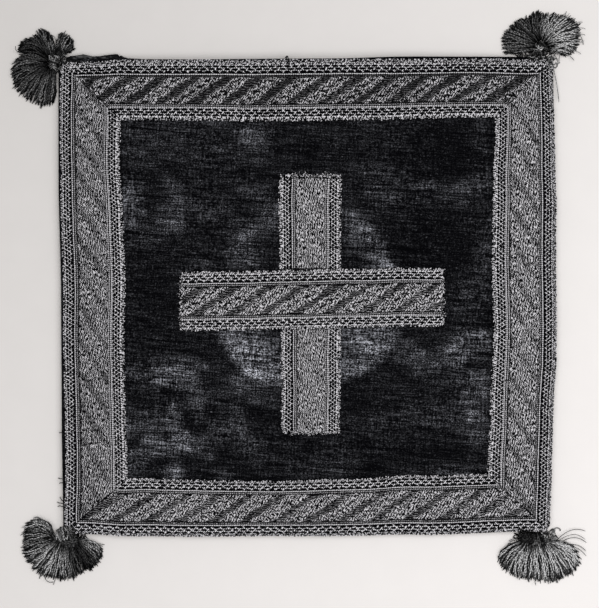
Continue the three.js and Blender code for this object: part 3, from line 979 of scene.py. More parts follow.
class Weave:
    """The galloon's weave, laid out flat: its mesh, and its threads' rise and tone."""

    OPENWORK = 4.2  # its width
    ROWS = 3  # of holes in it
    LINE = 1.1  # its width
    LINE_ENDS = 6  # threads along it
    END = 0.6  # from one lengthwise thread to the next

    def __init__(self, sizes, strip):
        self.strip = strip
        self.step = sizes.hole_pitch / MM
        self.pitch = self.step / strip["holes"]
        self.cell = PICKS[strip["holes"]]
        self.pick = self.pitch / self.cell
        self.period = sizes.stripe_period / MM
        self.slope = math.tan(sizes.stripe_angle)
        first, second = strip["edges"]
        line = self.LINE
        widths = [first, self.OPENWORK, line, line, 0, line, line, self.OPENWORK, second]
        widths[BAND] = GALLOON_WIDTH - sum(widths)
        self.bounds = np.concatenate([[0], np.cumsum(widths)])
        self.counts = [max(2, 2 * round(wide / self.END / 2)) for wide in widths]
        for zone in LINES:
            self.counts[zone] = self.LINE_ENDS
        self.ends = np.concatenate([[0], np.cumsum(self.counts)])

    def end_at(self, t):
        """The number of lengthwise threads up to a place across."""
        return np.interp(t, self.bounds, self.ends)

    def zone_at(self, t):
        return np.clip(np.searchsorted(self.bounds, t, side="right") - 1, 0, 8)

    def flat_mesh(self, start, end, seed):
        """Points (s, t, height) and faces of the whole length, with holes in the openwork."""
        first = math.floor(start / self.pitch) - 1
        cells = math.ceil(end / self.pitch) + 1 - first
        columns = cells * self.cell + 1
        s = first * self.pitch + self.pick * np.arange(columns)
        points, faces, index = [], [], {}

        def point(i, t):
            key = (i, round(t, 4))
            if key not in index:
                index[key] = len(points)
                points.append((s[i], t, WHOLE))
            return index[key]

        for zone, (low, high, count) in enumerate(zip(self.bounds, self.bounds[1:], self.counts)):
            if zone in OPENWORKS:
                continue
            ts = np.linspace(low, high, count + 1)
            for t0, t1 in zip(ts, ts[1:]):
                for i in range(columns - 1):
                    faces.append((point(i, t0), point(i + 1, t0), point(i + 1, t1), point(i, t1)))
        rng = np.random.default_rng(seed)
        deep = self.OPENWORK / self.ROWS
        for zone in OPENWORKS:
            for row in range(self.ROWS):
                t0 = self.bounds[zone] + row * deep
                t1 = self.bounds[zone] + (row + 1) * deep
                tm = 0.5 * (t0 + t1)
                shift = (row % 2) * (self.cell // 2)
                for cell in range(cells - 1):
                    i0 = cell * self.cell + shift
                    i1 = i0 + self.cell
                    ring = [point(i, t0) for i in range(i0, i1)]
                    ring += [point(i1, t0), point(i1, tm)]
                    ring += [point(i, t1) for i in range(i1, i0, -1)]
                    ring += [point(i0, t1), point(i0, tm)]
                    self.hole(points, faces, ring, s[i0] + self.pitch / 2, tm, deep, rng)
        return np.array(points), faces

    def hole(self, points, faces, ring, centre, middle, deep, rng):
        """Fills one cell round its oval hole, with a slope down into the hole."""
        long, wide = self.strip["hole"]
        even = self.strip["holes"] == 1
        shifts, widths, tilts = (0.08, 0.09, 0.05) if even else (0.13, 0.2, 0.16)
        centre += np.clip(rng.normal(0, shifts), -0.24, 0.24)
        size, lean = rng.normal(1, 0.09), rng.normal(0, 1)
        middle += rng.normal(0, 0.04)
        if not even:
            size = np.clip(size + rng.normal(0, 0.15), 0.7, 1.15)
        long *= 0.5 * size
        wide *= 0.5 * rng.normal(1, widths)
        rings = [ring]
        for scale, height in HOLE_RINGS:
            inner = []
            for k in ring:
                du = (points[k][0] - centre) / (self.pitch / 2)
                dv = (points[k][1] - middle) / (deep / 2)
                size = math.hypot(du, dv)
                a = long * scale * du / size
                b = min(wide * scale, 0.47 * deep) * dv / size
                inner.append(len(points))
                points.append((centre + a, middle + b + tilts * lean * a, height))
            rings.append(inner)
        for outer, inner in zip(rings, rings[1:]):
            for k in range(len(ring)):
                after = (k + 1) % len(ring)
                faces.append((outer[k], outer[after], inner[after], inner[k]))

    def looks(self, s, t, height, seed):
        """Each point's rise in millimetres, its tone, and how beaded and how rough its thread is."""
        strip, zone = self.strip, self.zone_at(t)
        thread = np.cos(math.pi * self.end_at(t))
        bead = np.cos(math.pi * s / self.pick) * thread
        kinds = [np.isin(zone, OPENWORKS), np.isin(zone, EDGES), np.isin(zone, LINES)]
        parts = (
            self.openwork(height, bead),
            self.edges(t, bead),
            self.lines(s, t, zone),
            self.band(s, t, thread, bead, seed),
        )
        rise, tone, beaded, rough = (np.select(kinds, each[:3], each[3]) for each in zip(*parts))
        rise = rise * smooth(0.2 + np.minimum(t, GALLOON_WIDTH - t) / 0.8)
        soft = noise(s, t, 1.7, seed + 1)
        patches = noise(s, t, 8.0, seed + 2) + 0.5 * noise(s, t, 3.0, seed + 12) - 0.25
        patches = mix(patches, 0.5, 0.6 * strip["straight"])
        # Painted light and shade: each length's band, openwork and lines are made lighter or darker as
        # the light falls along it.
        level = np.where(zone == BAND, strip["level"], strip["open"])
        tone = tone * (0.82 + 0.36 * patches) * (0.9 + 0.2 * soft) * level
        # Painted shade: the stretch under the other length is darkened, where it shows through that
        # length's holes.
        if "covered" in strip:
            low, high = strip["covered"]
            tone = tone * (1 - 0.85 * smooth((s - low) / 2) * smooth((high - s) / 2))
        if "groove" in strip:
            tone = tone * (1 - 0.9 * smooth(1.4 - np.abs(s - strip["groove"]) / 0.55))
        return rise, np.clip(tone, 0, 3), beaded, rough

    @staticmethod
    def openwork(height, bead):
        """The threads between the holes, and the dark slopes down into them."""
        whole = height > 1.5
        tone = np.where(whole, 1.7 + 0.4 * bead, np.where(height > 0.4, 0.08, 0.0))
        return np.where(whole, 0.72 + 0.1 * bead, height), tone, 0.8, 0.09

    def edges(self, t, bead):
        """The looped edges, each with a bright cord along it, save a length's outer edge."""
        near = GALLOON_WIDTH - t if self.strip["outer"] else np.minimum(t, GALLOON_WIDTH - t)
        cord = smooth(1.3 - near / 0.75)
        rise = 0.55 + 0.14 * bead + 0.2 * cord
        return rise, mix(0.6 + 0.17 * bead, 1.3, cord), 0.6, mix(0.8, 0.12, cord)

    def lines(self, s, t, zone):
        """The two lines at each side of the band, which are ridges of pale thread."""
        off = np.abs(self.end_at(t) - self.ends[zone] - self.LINE_ENDS / 2)
        ridge = np.interp(off, (0, 1, 2, 3), (1, 0.85, 0.05, 0))
        bright = np.select([zone == k for k in LINES], (1, *self.strip["second"], 1), 0)
        tone = 0.02 + (1.1 + 0.9 * np.cos(math.pi * s / self.pick)) * ridge * bright
        return 0.5 + 0.35 * ridge * bright, tone, 1.0, mix(0.3, 0.03, ridge * bright)

    def band(self, s, t, thread, bead, seed):
        """The striped band: beaded light thread, and dark stripes of threads along it."""
        dark, lined, dots = self.stripes(s, t, seed)
        beaded = mix(0.85, 0.12, np.maximum(dark, self.strip["straight"]))
        tone = mix(0.56 + 0.1 * lined + 0.16 * bead, 0.09 + 0.11 * thread, dark)
        tone = np.maximum(tone - 0.62 * dots, 0.02)
        rise = 0.5 + 0.2 * (1 - dark) - 0.15 * dots
        rise += 0.13 * mix(thread, bead, beaded) * (1 - 0.6 * dark)
        return rise, tone, beaded, self.strip["rough"] * (1 - 0.4 * dark)

    def stripes(self, s, t, seed):
        """How far each point is in a dark stripe, in the pale line along one, and in a dark dot.
        A light stripe has a row of dots along its middle."""
        strip, half = self.strip, GALLOON_WIDTH / 2
        along = (s + np.interp(s, *zip(*strip["slip"]))) * strip["lean"]
        along = along - (t - half) / self.slope - 1.6 * ((t - half) / half) ** 3
        along = along / self.period + 0.07 * (noise(s, t, 7.0, seed + 3) - 0.5)
        along += 0.13 * (noise(s, t, 4.0, seed + 13, cell_y=0.8) - 0.5)
        along *= strip["lean"]
        phase = along - np.floor(along)
        wide = mix(0.2, 0.1, strip["straight"]) + 0.12 * noise(s, t, 12.0, seed + 14)
        dark = 1 - smooth((phase - wide) / 0.15) * smooth((0.985 - phase) / 0.04)
        dark = dark * strip["contrast"] * (0.8 + 0.4 * noise(s, t, 9.0, seed + 8))
        lined = smooth(1 - np.abs(phase - 0.93) / 0.07)
        apart = 1.15 * self.step  # from dot to dot
        step = (t - half) * math.hypot(1, 1 / self.slope) / apart + phase - along
        step += 0.3 * noise(s, t, 5.0, seed + 4)
        off = (phase - 0.64) * self.period * math.sin(math.atan(self.slope))
        away = np.hypot(off, (step - np.floor(step) - 0.5) * apart)
        dots = smooth(1.5 - away / 0.9) - 0.35 * smooth(1 - np.abs(away - 1.8) / 0.7)
        return dark, lined, dots * strip["dots"]

    def wander(self, s, t, seed):
        """How far the threads stray from their straight lines, along and across."""
        loose = np.where(self.zone_at(t) == BAND, 1.0, 0.2)
        loose = loose * np.where(t * (GALLOON_WIDTH - t) <= 0, 0, 1)
        shift = 0.5 * (noise(s, t, 2.4, seed + 6) - 0.5)
        sway = 0.9 * (noise(s, t, 3.4, seed + 5, cell_y=2.2) - 0.5)
        return shift * loose, sway * loose


def galloon_finish(sizes):
    """Silk and pale thread. The weave map counts picks and ends, and tone says how pale each is."""
    finish = Finish("woven_galloon", {"Roughness": 0.7, "Specular IOR Level": 0.02})
    counts = finish.surface("weave")
    parts = finish.node("ShaderNodeSeparateXYZ", {0: counts})
    place = (parts.outputs["X"], parts.outputs["Y"])
    beaded, uneven = finish.attribute("beaded"), finish.attribute("rough")
    crossed = finish.ranged(beaded, 0.4, 0.8)
    loose = finish.ranged(uneven, 0.03, 0.09)
    threads, checks = whole_threads(finish, counts, place, beaded, uneven)
    fine = fine_threads(finish, counts, place, crossed, checks)
    in_band = finish.math("MINIMUM", finish.weighted((uneven, 2.5), (1.0, 0.02)), 1.0)
    swing = finish.weighted(
        (finish.math("MULTIPLY", threads, loose), 0.6),
        (finish.math("MULTIPLY", tufted_thread(finish, counts, crossed), uneven), 1.0),
        (finish.noise(counts, (3.5, 9.0, 1.0), detail=2.0, turn=math.radians(35)), 0.9),
        (1.0, 0.25),
    )
    swing = finish.weighted(
        (swing, 1.0), (finish.math("MULTIPLY", fine, in_band), 1.0), (loose, -0.3)
    )
    # Painted light and shade at the scale of the threads: crests lit and the gaps between them dark.
    lit = finish.node(
        "ShaderNodeMapRange", {0: swing, 1: 0.06, 3: 0.0, 4: 2.3}, interpolation_type="SMOOTHSTEP"
    ).outputs[0]
    tone = finish.math("MULTIPLY", finish.attribute("tone"), lit)
    tone = finish.math("POWER", tone, GREY_POWER)
    finish.feed(finish.shader.inputs["Base Color"], finish.blend(tone, sizes.dark, sizes.light))
    finish.bump(swing, 0.16 * MM)
    return finish.material


def whole_threads(finish, counts, place, beaded, uneven):
    """Waves over the threads: plain ones along the galloon to beads over and under, and checks."""
    cosines = []
    for axis, values in zip("XY", place):
        stray = finish.noise(counts, (0.35, 0.35, 1.0), detail=1.0, shift=10.0 + ord(axis))
        stray = finish.math("MULTIPLY", stray, uneven)
        strayed = finish.weighted((values, 1.0), (stray, 1.6))
        cosines.append(finish.math("COSINE", finish.math("MULTIPLY", strayed, math.pi)))
    slant = finish.weighted((place[X], math.pi), (place[Y], -0.6 * math.pi))
    slant = finish.math("COSINE", finish.weighted((slant, 1.0), (stray, 6.0)))
    checks = finish.math("MULTIPLY", *cosines)
    beads = finish.weighted((slant, 0.7), (checks, 0.7))
    return finish.choose(beaded, cosines[Y], beads), checks


def fine_threads(finish, counts, place, crossed, checks):
    """Fine streaks along a band of straight threads, and ticks across a band of crossed ones."""
    wavy = finish.noise(counts, (0.45, 0.3, 1.0), detail=1.0, shift=40.0)
    lean = finish.weighted((place[X], 0.24 * math.pi), (place[Y], math.pi), (wavy, 7.0))
    ticks = finish.weighted((place[X], 0.78 * math.pi), (place[Y], -0.48 * math.pi), (wavy, 9.0))
    streaks = finish.weighted((finish.math("COSINE", lean), 0.85), (checks, 0.5))
    ticks = finish.weighted((finish.math("COSINE", ticks), 1.0), (checks, 0.2))
    return finish.choose(crossed, streaks, ticks)


def tufted_thread(finish, counts, crossed):
    """The uneven thickness of the thread, slanted where the threads cross."""
    slanted = finish.noise(counts, (0.52, 1.04, 1.0), detail=0.0, turn=math.radians(-52))
    straight = finish.noise(
        counts, (0.34, 1.5, 1.0), detail=0.0, turn=math.radians(13), shift=20.0
    )
    tufts = finish.noise(counts, (0.42, 0.5, 1.0), detail=1.0, shift=5.0)
    grain = finish.choose(crossed, straight, slanted)
    return finish.weighted((grain, 18.0), (tufts, 1.0), (1.0, -10.0))


def clipped(points, faces, cuts):
    """What is left of a flat mesh inside its cuts, each a point and a way out."""
    mesh = bpy.data.meshes.new("flat_galloon")
    mesh.from_pydata(points.tolist(), [], faces)
    shape = bmesh.new()
    shape.from_mesh(mesh)
    for co, no in cuts:
        everything = shape.verts[:] + shape.edges[:] + shape.faces[:]
        bmesh.ops.bisect_plane(
            shape, geom=everything, plane_co=co, plane_no=no, clear_outer=True, dist=1e-4
        )
    shape.to_mesh(mesh)
    shape.free()
    points = np.array([v.co for v in mesh.vertices])
    faces = [tuple(p.vertices) for p in mesh.polygons]
    bpy.data.meshes.remove(mesh)
    return points, faces


class Length:
    """One length of galloon: woven flat, cut at its ends, and laid where to_plane puts it."""

    def __init__(self, name, sizes, cuts, to_plane, seed):
        self.name = name
        self.strip = STRIPS[name]
        self.weave = Weave(sizes, self.strip)
        self.cuts = cuts
        self.to_plane = to_plane
        self.seed = seed

    def drift(self, s, t):
        """How far the galloon wanders across itself, in millimetres."""
        middle, half, far = self.strip["tucked"]
        tuck = far * smooth(1.5 - np.abs(s - middle) / half) * smooth(1 - t / 12)
        return 0.6 * (noise(s, 0 * s, 16.0, self.seed + 7) - 0.5) + tuck

    def cloth(self, start, end):
        """The woven cloth's points in place, faces, flat places, tone, beading and roughness."""
        points, faces = self.weave.flat_mesh(start, end, self.seed)
        points, faces = clipped(points, faces, self.cuts)
        s, t, height = points.T
        rise, tone, beaded, rough = self.weave.looks(s, t, height, self.seed)
        shift, sway = self.weave.wander(s, t, self.seed)
        rim = np.minimum(t, GALLOON_WIDTH - t)
        ragged = (noise(s, 0 * s, 1.3, self.seed + 9) - 0.5) * 0.9 * smooth(1 - rim / 1.2)
        ragged = ragged * np.where(t < GALLOON_WIDTH / 2, -1, 1)
        across = t + sway + self.drift(s, t) + ragged
        x, y, z = self.to_plane((s + shift) * MM, across / GALLOON_WIDTH)
        placed = np.stack([x, y, z + rise * MM], 1)
        a, b, c = placed[np.array([face[:3] for face in faces])].transpose(1, 0, 2)
        if np.cross(b - a, c - a)[:, Z].mean() < 0:
            faces = [face[::-1] for face in faces]
        return placed, faces, np.stack([s, t, tone, beaded, rough], 1)

    def threads(self, low, high):
        """The loose threads' points in place, faces, flat places, tone, beading and roughness, and
        how many of the points, at the end, are off the weave."""
        loose = loose_threads(self.strip, self.cuts, self.seed, low, high)
        paths, radii, tones = (np.array(each) for each in zip(*loose))
        s, t, height = paths.transpose(2, 0, 1)
        x, y, z = self.to_plane(s * MM, (t + self.drift(s, t)) / GALLOON_WIDTH)
        strays, stray_tones = stray_threads(self.name)
        count = len(strays)
        placed = np.concatenate([np.stack([x, y, z + height * MM], 2), strays])
        radii = np.concatenate([radii, np.full(count, STRAY_RADIUS)])
        # The loose threads take their length's painted light and shade too.
        tones = np.concatenate([tones, stray_tones]) * self.strip["level"]
        radii = np.repeat(radii[:, None], LOOSE_STEPS, 1) * MM
        points, faces, around, _ = tubes(placed, radii, LOOSE_SIDES)
        s = np.repeat(np.concatenate([s, s[:count]]), LOOSE_SIDES)
        t = np.repeat(np.concatenate([t, t[:count]]), LOOSE_SIDES) + 0.1 * around
        tone = np.repeat(tones, LOOSE_STEPS * LOOSE_SIDES)
        alike = (np.full(s.size, value) for value in (LOOSE_BEADED, LOOSE_ROUGH))
        looks = np.stack([s, t, tone, *alike], 1)
        return points, faces, looks, count * LOOSE_STEPS * LOOSE_SIDES

    def make(self, start, end, material):
        points, faces, looks = self.cloth(start / MM, end / MM)
        low, high = looks[:, 0].min(), looks[:, 0].max()
        more_points, more_faces, more_looks, off_weave = self.threads(low, high)
        faces += [tuple(k + len(points) for k in face) for face in more_faces]
        points = np.concatenate([points, more_points])
        s, t, tone, beaded, rough = np.concatenate([looks, more_looks]).T
        made = piece(self.name + "_woven", points, faces, material, [self.name])
        give(made, "tone", tone)
        give(made, "beaded", beaded)
        give(made, "rough", rough)
        ends = self.weave.end_at(np.clip(t, 0, GALLOON_WIDTH)) * self.strip["lean"]
        woven = np.arange(s.size) < s.size - off_weave
        unfold(made, "weave", *(np.where(woven, each, 0) for each in (s / self.weave.pick, ends)))
        u, v = ((each - each.min()) / (each.max() - each.min()) for each in (s, t))
        unfold(made, "OFBake", 0.002 + 0.996 * u, 0.002 + 0.996 * v)


LOOP_PITCH = 2.05  # from loop to loop along an edge
LOOSE_STEPS = 7  # points along a loose thread
LOOSE_SIDES = 5  # points round it
LOOSE_BEADED, LOOSE_ROUGH = 0.9, 0.45
STRAY_RADIUS = 0.21
STRAY_LIFT = 0.35  # from what it lies on to its middle
STRAY_TONE = 0.42  # of a whole one's
# Threads that have come loose: four corners of each one's path in millimetres, and its tone.
STRAYS = {
    "galloon_top": (
        (-10.9, 124.6, -9.2, 125.2, -10.0, 122.4, -11.2, 123.6, 0.05),
        (-11.4, 123.9, -10.2, 124.9, -9.6, 123.6, -10.9, 122.8, 0.05),
        (-10.6, 124.2, -10.9, 121.6, -9.4, 119.6, -9.7, 116.8, 0.08),
        (-9.9, 123.0, -9.0, 121.0, -10.4, 119.0, -9.2, 117.4, 0.9),
    ),
    "galloon_bottom": (
        (-78.3, -92.0, -75.8, -92.6, -74.4, -95.0, -75.0, -97.6, 1.0),
        (-64.6, -95.6, -64.8, -92.0, -61.0, -91.8, -60.2, -95.4, 1.0),
        (-53.8, -94.6, -53.6, -91.8, -51.2, -92.0, -50.8, -94.6, 0.95),
        (69.8, -94.0, 69.8, -90.6, 72.4, -90.8, 72.2, -94.2, 0.95),
        (-29.0, -93.6, -26.4, -91.4, -24.2, -93.4, -26.0, -95.2, 0.9),
        (24.0, -92.0, 26.4, -90.6, 28.8, -91.6, 27.6, -94.0, 0.9),
    ),
    "galloon_left": (
        (-124.9, -107.0, -126.7, -105.6, -128.5, -107.4, -129.3, -106.2, 0.25),
        (-124.9, -107.6, -126.9, -108.8, -128.1, -107.4, -129.1, -108.6, 0.35),
        (-124.7, -106.2, -125.9, -104.6, -127.5, -104.8, -127.9, -103.6, 0.3),
        (-125.1, -94.2, -126.7, -93.0, -127.7, -94.6, -128.9, -93.8, 0.3),
        (-124.9, -95.0, -126.3, -96.4, -127.5, -95.4, -128.1, -96.6, 0.4),
        (-125.1, -70.0, -126.9, -69.0, -127.7, -70.8, -128.3, -70.2, 0.4),
    ),
    "galloon_right": (
        (97.0, 20.8, 94.8, 20.2, 93.4, 21.6, 91.4, 21.6, 1.0),
        (96.6, 21.2, 94.6, 21.4, 93.2, 20.2, 91.8, 20.6, 0.9),
        (101.6, -43.0, 102.6, -42.2, 103.8, -43.4, 105.0, -42.6, 1.0),
    ),
    "cross_upright": (
        (-13.0, 50.6, -14.2, 50.4, -15.2, 51.2, -16.6, 50.9, 1.2),
        (12.6, 25.2, 14.4, 25.6, 16.2, 25.0, 18.2, 25.5, 1.2),
        (-12.8, 60.6, -14.6, 62.0, -16.8, 60.6, -18.0, 61.4, 0.5),
        (17.0, 58.6, 18.6, 60.4, 20.8, 60.2, 22.2, 62.0, 0.4),
    ),
    "cross_bar": (
        (69.6, 8.2, 70.4, 3.6, 69.2, -1.6, 69.9, -6.4, 1.3),
        (69.4, 7.9, 72.2, 8.2, 71.6, 11.0, 69.8, 11.8, 0.9),
        (70.2, 9.0, 72.0, 10.0, 72.6, 12.4, 71.4, 13.4, 0.8),
        (70.0, -9.4, 72.4, -8.8, 72.6, -12.0, 70.2, -11.8, 1.1),
        (70.4, 7.0, 75.2, 8.6, 79.6, 5.2, 77.4, 1.4, 0.34),
        (70.6, 2.0, 74.4, 4.0, 77.6, 1.0, 78.8, -2.6, 0.3),
        (43.6, -40.2, 44.4, -41.2, 43.2, -42.6, 44.0, -43.8, 0.6),
        (44.2, -50.8, 46.6, -49.2, 48.4, -51.4, 50.6, -49.8, 0.55),
        (-58.4, -16.6, -57.8, -18.4, -56.6, -19.2, -57.6, -20.2, 0.9),
        (-31.2, -16.4, -30.6, -18.2, -29.4, -19.0, -30.0, -20.0, 0.9),
        (-22.6, -16.4, -21.8, -18.8, -20.8, -19.2, -21.6, -20.4, 0.8),
        (-65.0, 9.0, -67.2, 10.4, -68.6, 9.2, -70.4, 10.6, 0.6),
        (-65.0, -4.0, -66.8, -5.4, -68.6, -4.2, -69.8, -5.4, 0.55),
    ),
}


def stray_threads(name):
    under = surface_of(["front_panel", *STRIPS])
    paths, tones = [], []
    for *corners, tone in STRAYS[name]:
        x, y = curve(np.reshape(corners, (1, 4, 2)), LOOSE_STEPS)[0].T
        paths.append(laid(x, y, STRAY_LIFT, under))
        tones.append(STRAY_TONE * tone)
    return np.array(paths), np.array(tones)


def loose_threads(strip, cuts, seed, low, high):
    """Loops along both edges and frayed threads at cut ends: each one's path, as (s, t, height),
    its radius and its tone."""
    rng = np.random.default_rng(seed + 50)
    threads = []

    def inside(s, t):
        return all((Vector((s, t, 0)) - co).dot(no) < -0.5 for co, no in cuts)

    for edge, way, out in zip((0, GALLOON_WIDTH), (-1, 1), strip["loops"]):
        for k in range(int((high - low) / LOOP_PITCH)):
            middle = low + (k + 0.5) * LOOP_PITCH + rng.normal(0, 0.3)
            if not inside(middle, edge) or rng.random() < 0.06:
                continue
            turn = np.linspace(-0.35, math.pi + 0.35, LOOSE_STEPS)
            wide = rng.uniform(0.6, 1.05)
            far = out * rng.uniform(0.6, 1.5) + 0.35
            s = middle + wide * np.cos(turn) + rng.normal(0, 0.2) * np.sin(turn)
            t = edge + way * (far * np.sin(turn) - 0.4)
            path = np.stack([s, t, 0.55 + rng.uniform(0, 0.5) * np.sin(turn)], 1)
            threads.append((path, rng.uniform(0.17, 0.27), rng.uniform(0.5, 1.0)))
    u = np.linspace(0, 1, LOOSE_STEPS)
    for end, way in ((low, -1), (high, 1)):
        for _ in range(strip["frayed"]):
            t = rng.uniform(0.2, GALLOON_WIDTH - 0.2)
            long = rng.exponential(0.7) + 0.7
            curl = rng.normal(0, 0.5) * u**2 + rng.normal(0, 0.25) * np.sin(3 * math.pi * u)
            s = end + way * (long * (u - 0.5) - 0.2)
            path = np.stack([s, t + curl * long, 0.75 + rng.uniform(-0.2, 0.3) * u], 1)
            threads.append((path, rng.uniform(0.14, 0.24), rng.uniform(0.4, 1.0)))
    return threads


def laying(name, along, first, second, corners=()):
    """A function from places along a length, and shares across it from its first edge to its
    second, to points on the velvet."""
    top = Heights(name)

    def to_plane(s, share):
        level = mix(first.at(s), second.at(s), share)
        x, y = rounded(*((s, level) if along == X else (level, s)), corners)
        return x, y, top.at(x, y) - GALLOON_THICK * MM - SINK

    return to_plane


class OBJECT_OT_burse_frame(bpy.types.Operator):
    """Make the four lengths of galloon round the velvet, mitred at the corners"""

    bl_idname = "object.burse_frame"
    bl_label = "Galloon Frame"

    # Which way each length runs, and which side of it is the outer one.
    SIDES = {
        "galloon_top": (X, 1),
        "galloon_bottom": (X, -1),
        "galloon_left": (Y, -1),
        "galloon_right": (Y, 1),
    }
    LEVEL = ("galloon_bottom", "galloon_top")
    UPRIGHT = ("galloon_left", "galloon_right")
    SEAM = 0.12  # millimetres from a mitre to the cut edge

    def execute(self, context):
        sizes = context.scene.burse_galloon
        material = galloon_finish(sizes)
        outer, inner = {}, {}
        for name, (along, out) in self.SIDES.items():
            outer[name] = Edge(name, along, out, STRIPS[name]["inset"])
            inner[name] = Edge(name, along, -out)
        tips = [
            meeting(outer[upright], outer[level])
            for level in self.LEVEL
            for upright in self.UPRIGHT
        ]
        for seed, (name, (along, _)) in enumerate(self.SIDES.items()):
            low, high = self.ends(name, outer)
            cuts = [
                self.mitre(far / MM, near / MM, way)
                for far, near, way in zip((low, high), self.ends(name, inner), (-1, 1))
            ]
            to_plane = laying(name, along, outer[name], inner[name], tips)
            length_made = Length(name, sizes, cuts, to_plane, 100 + 20 * seed)
            length_made.make(low, high, material)
        return {"FINISHED"}

    def ends(self, name, edges):
        """Where a length's edge starts and ends: where it meets its neighbours' edges."""
        if name in self.LEVEL:
            return [meeting(edges[upright], edges[name])[X] for upright in self.UPRIGHT]
        return [meeting(edges[name], edges[level])[Y] for level in self.LEVEL]

    def mitre(self, far, near, way):
        """The cut from the outer edge's end to the inner edge's, as a point and a way out."""
        normal = Vector((way * GALLOON_WIDTH, -way * (near - far), 0)).normalized()
        return Vector((far, 0, 0)) - normal * self.SEAM, normal


class OBJECT_OT_burse_cross(bpy.types.Operator):
    """Make the cross, a bar of galloon laid over an upright"""

    bl_idname = "object.burse_cross"
    bl_label = "Galloon Cross"

    FRAY = 0.6  # millimetres from a cut to the end of its frayed threads

    def execute(self, context):
        sizes = context.scene.burse_galloon
        material = bpy.data.materials["woven_galloon"]
        for seed, (name, along) in enumerate((("cross_upright", Y), ("cross_bar", X))):
            low, high = (corner[along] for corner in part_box(name))
            first, second = Edge(name, along, 1, STRIPS[name]["inset"]), Edge(name, along, -1)
            cuts = [
                (Vector((end / MM - way * self.FRAY, 0, 0)), Vector((way, 0.02, 0)).normalized())
                for end, way in ((low, -1), (high, 1))
            ]
            to_plane = laying(name, along, first, second)
            Length(name, sizes, cuts, to_plane, 300 + 20 * seed).make(low, high, material)
        return {"FINISHED"}


# ---- The tassels ----

PLIES = 2.0  # of a twisted thread
TWIST = 620.0  # turns of the plies in a metre of thread
HEAD_RADIUS = 0.34 * MM  # of the threads that bind a head
THIN_WRAP = 0.8  # the share of it that wraps and curls have
THIN_STRAY = 0.62  # the share of a fan thread's radius that a stray one has


def yarn_finish(sizes):
    """Thread of dark and pale fibres, twisted from plies. Tone says how pale it is."""
    finish = Finish("twisted_yarn", {"Roughness": 0.6, "Specular IOR Level": 0.04})
    flat = finish.surface("thread")
    parts = finish.node("ShaderNodeSeparateXYZ", {0: flat})
    plies = finish.weighted((parts.outputs["X"], PLIES), (parts.outputs["Y"], TWIST))
    ply = finish.math("SINE", finish.math("MULTIPLY", plies, 2 * math.pi))
    fibres = finish.noise(flat, (7.0, 900.0, 1.0), detail=2.0)
    swing = finish.weighted((ply, 0.3), (fibres, 2.6), (1.0, -0.3))
    tone = finish.math("MULTIPLY", finish.attribute("tone"), swing)
    tone = finish.math("POWER", finish.math("MAXIMUM", tone, 0.0), GREY_POWER)
    finish.feed(finish.shader.inputs["Base Color"], finish.blend(tone, sizes.dark, sizes.light))
    finish.bump(finish.weighted((ply, 0.6), (fibres, 0.4)), 0.1 * MM)
    return finish.material
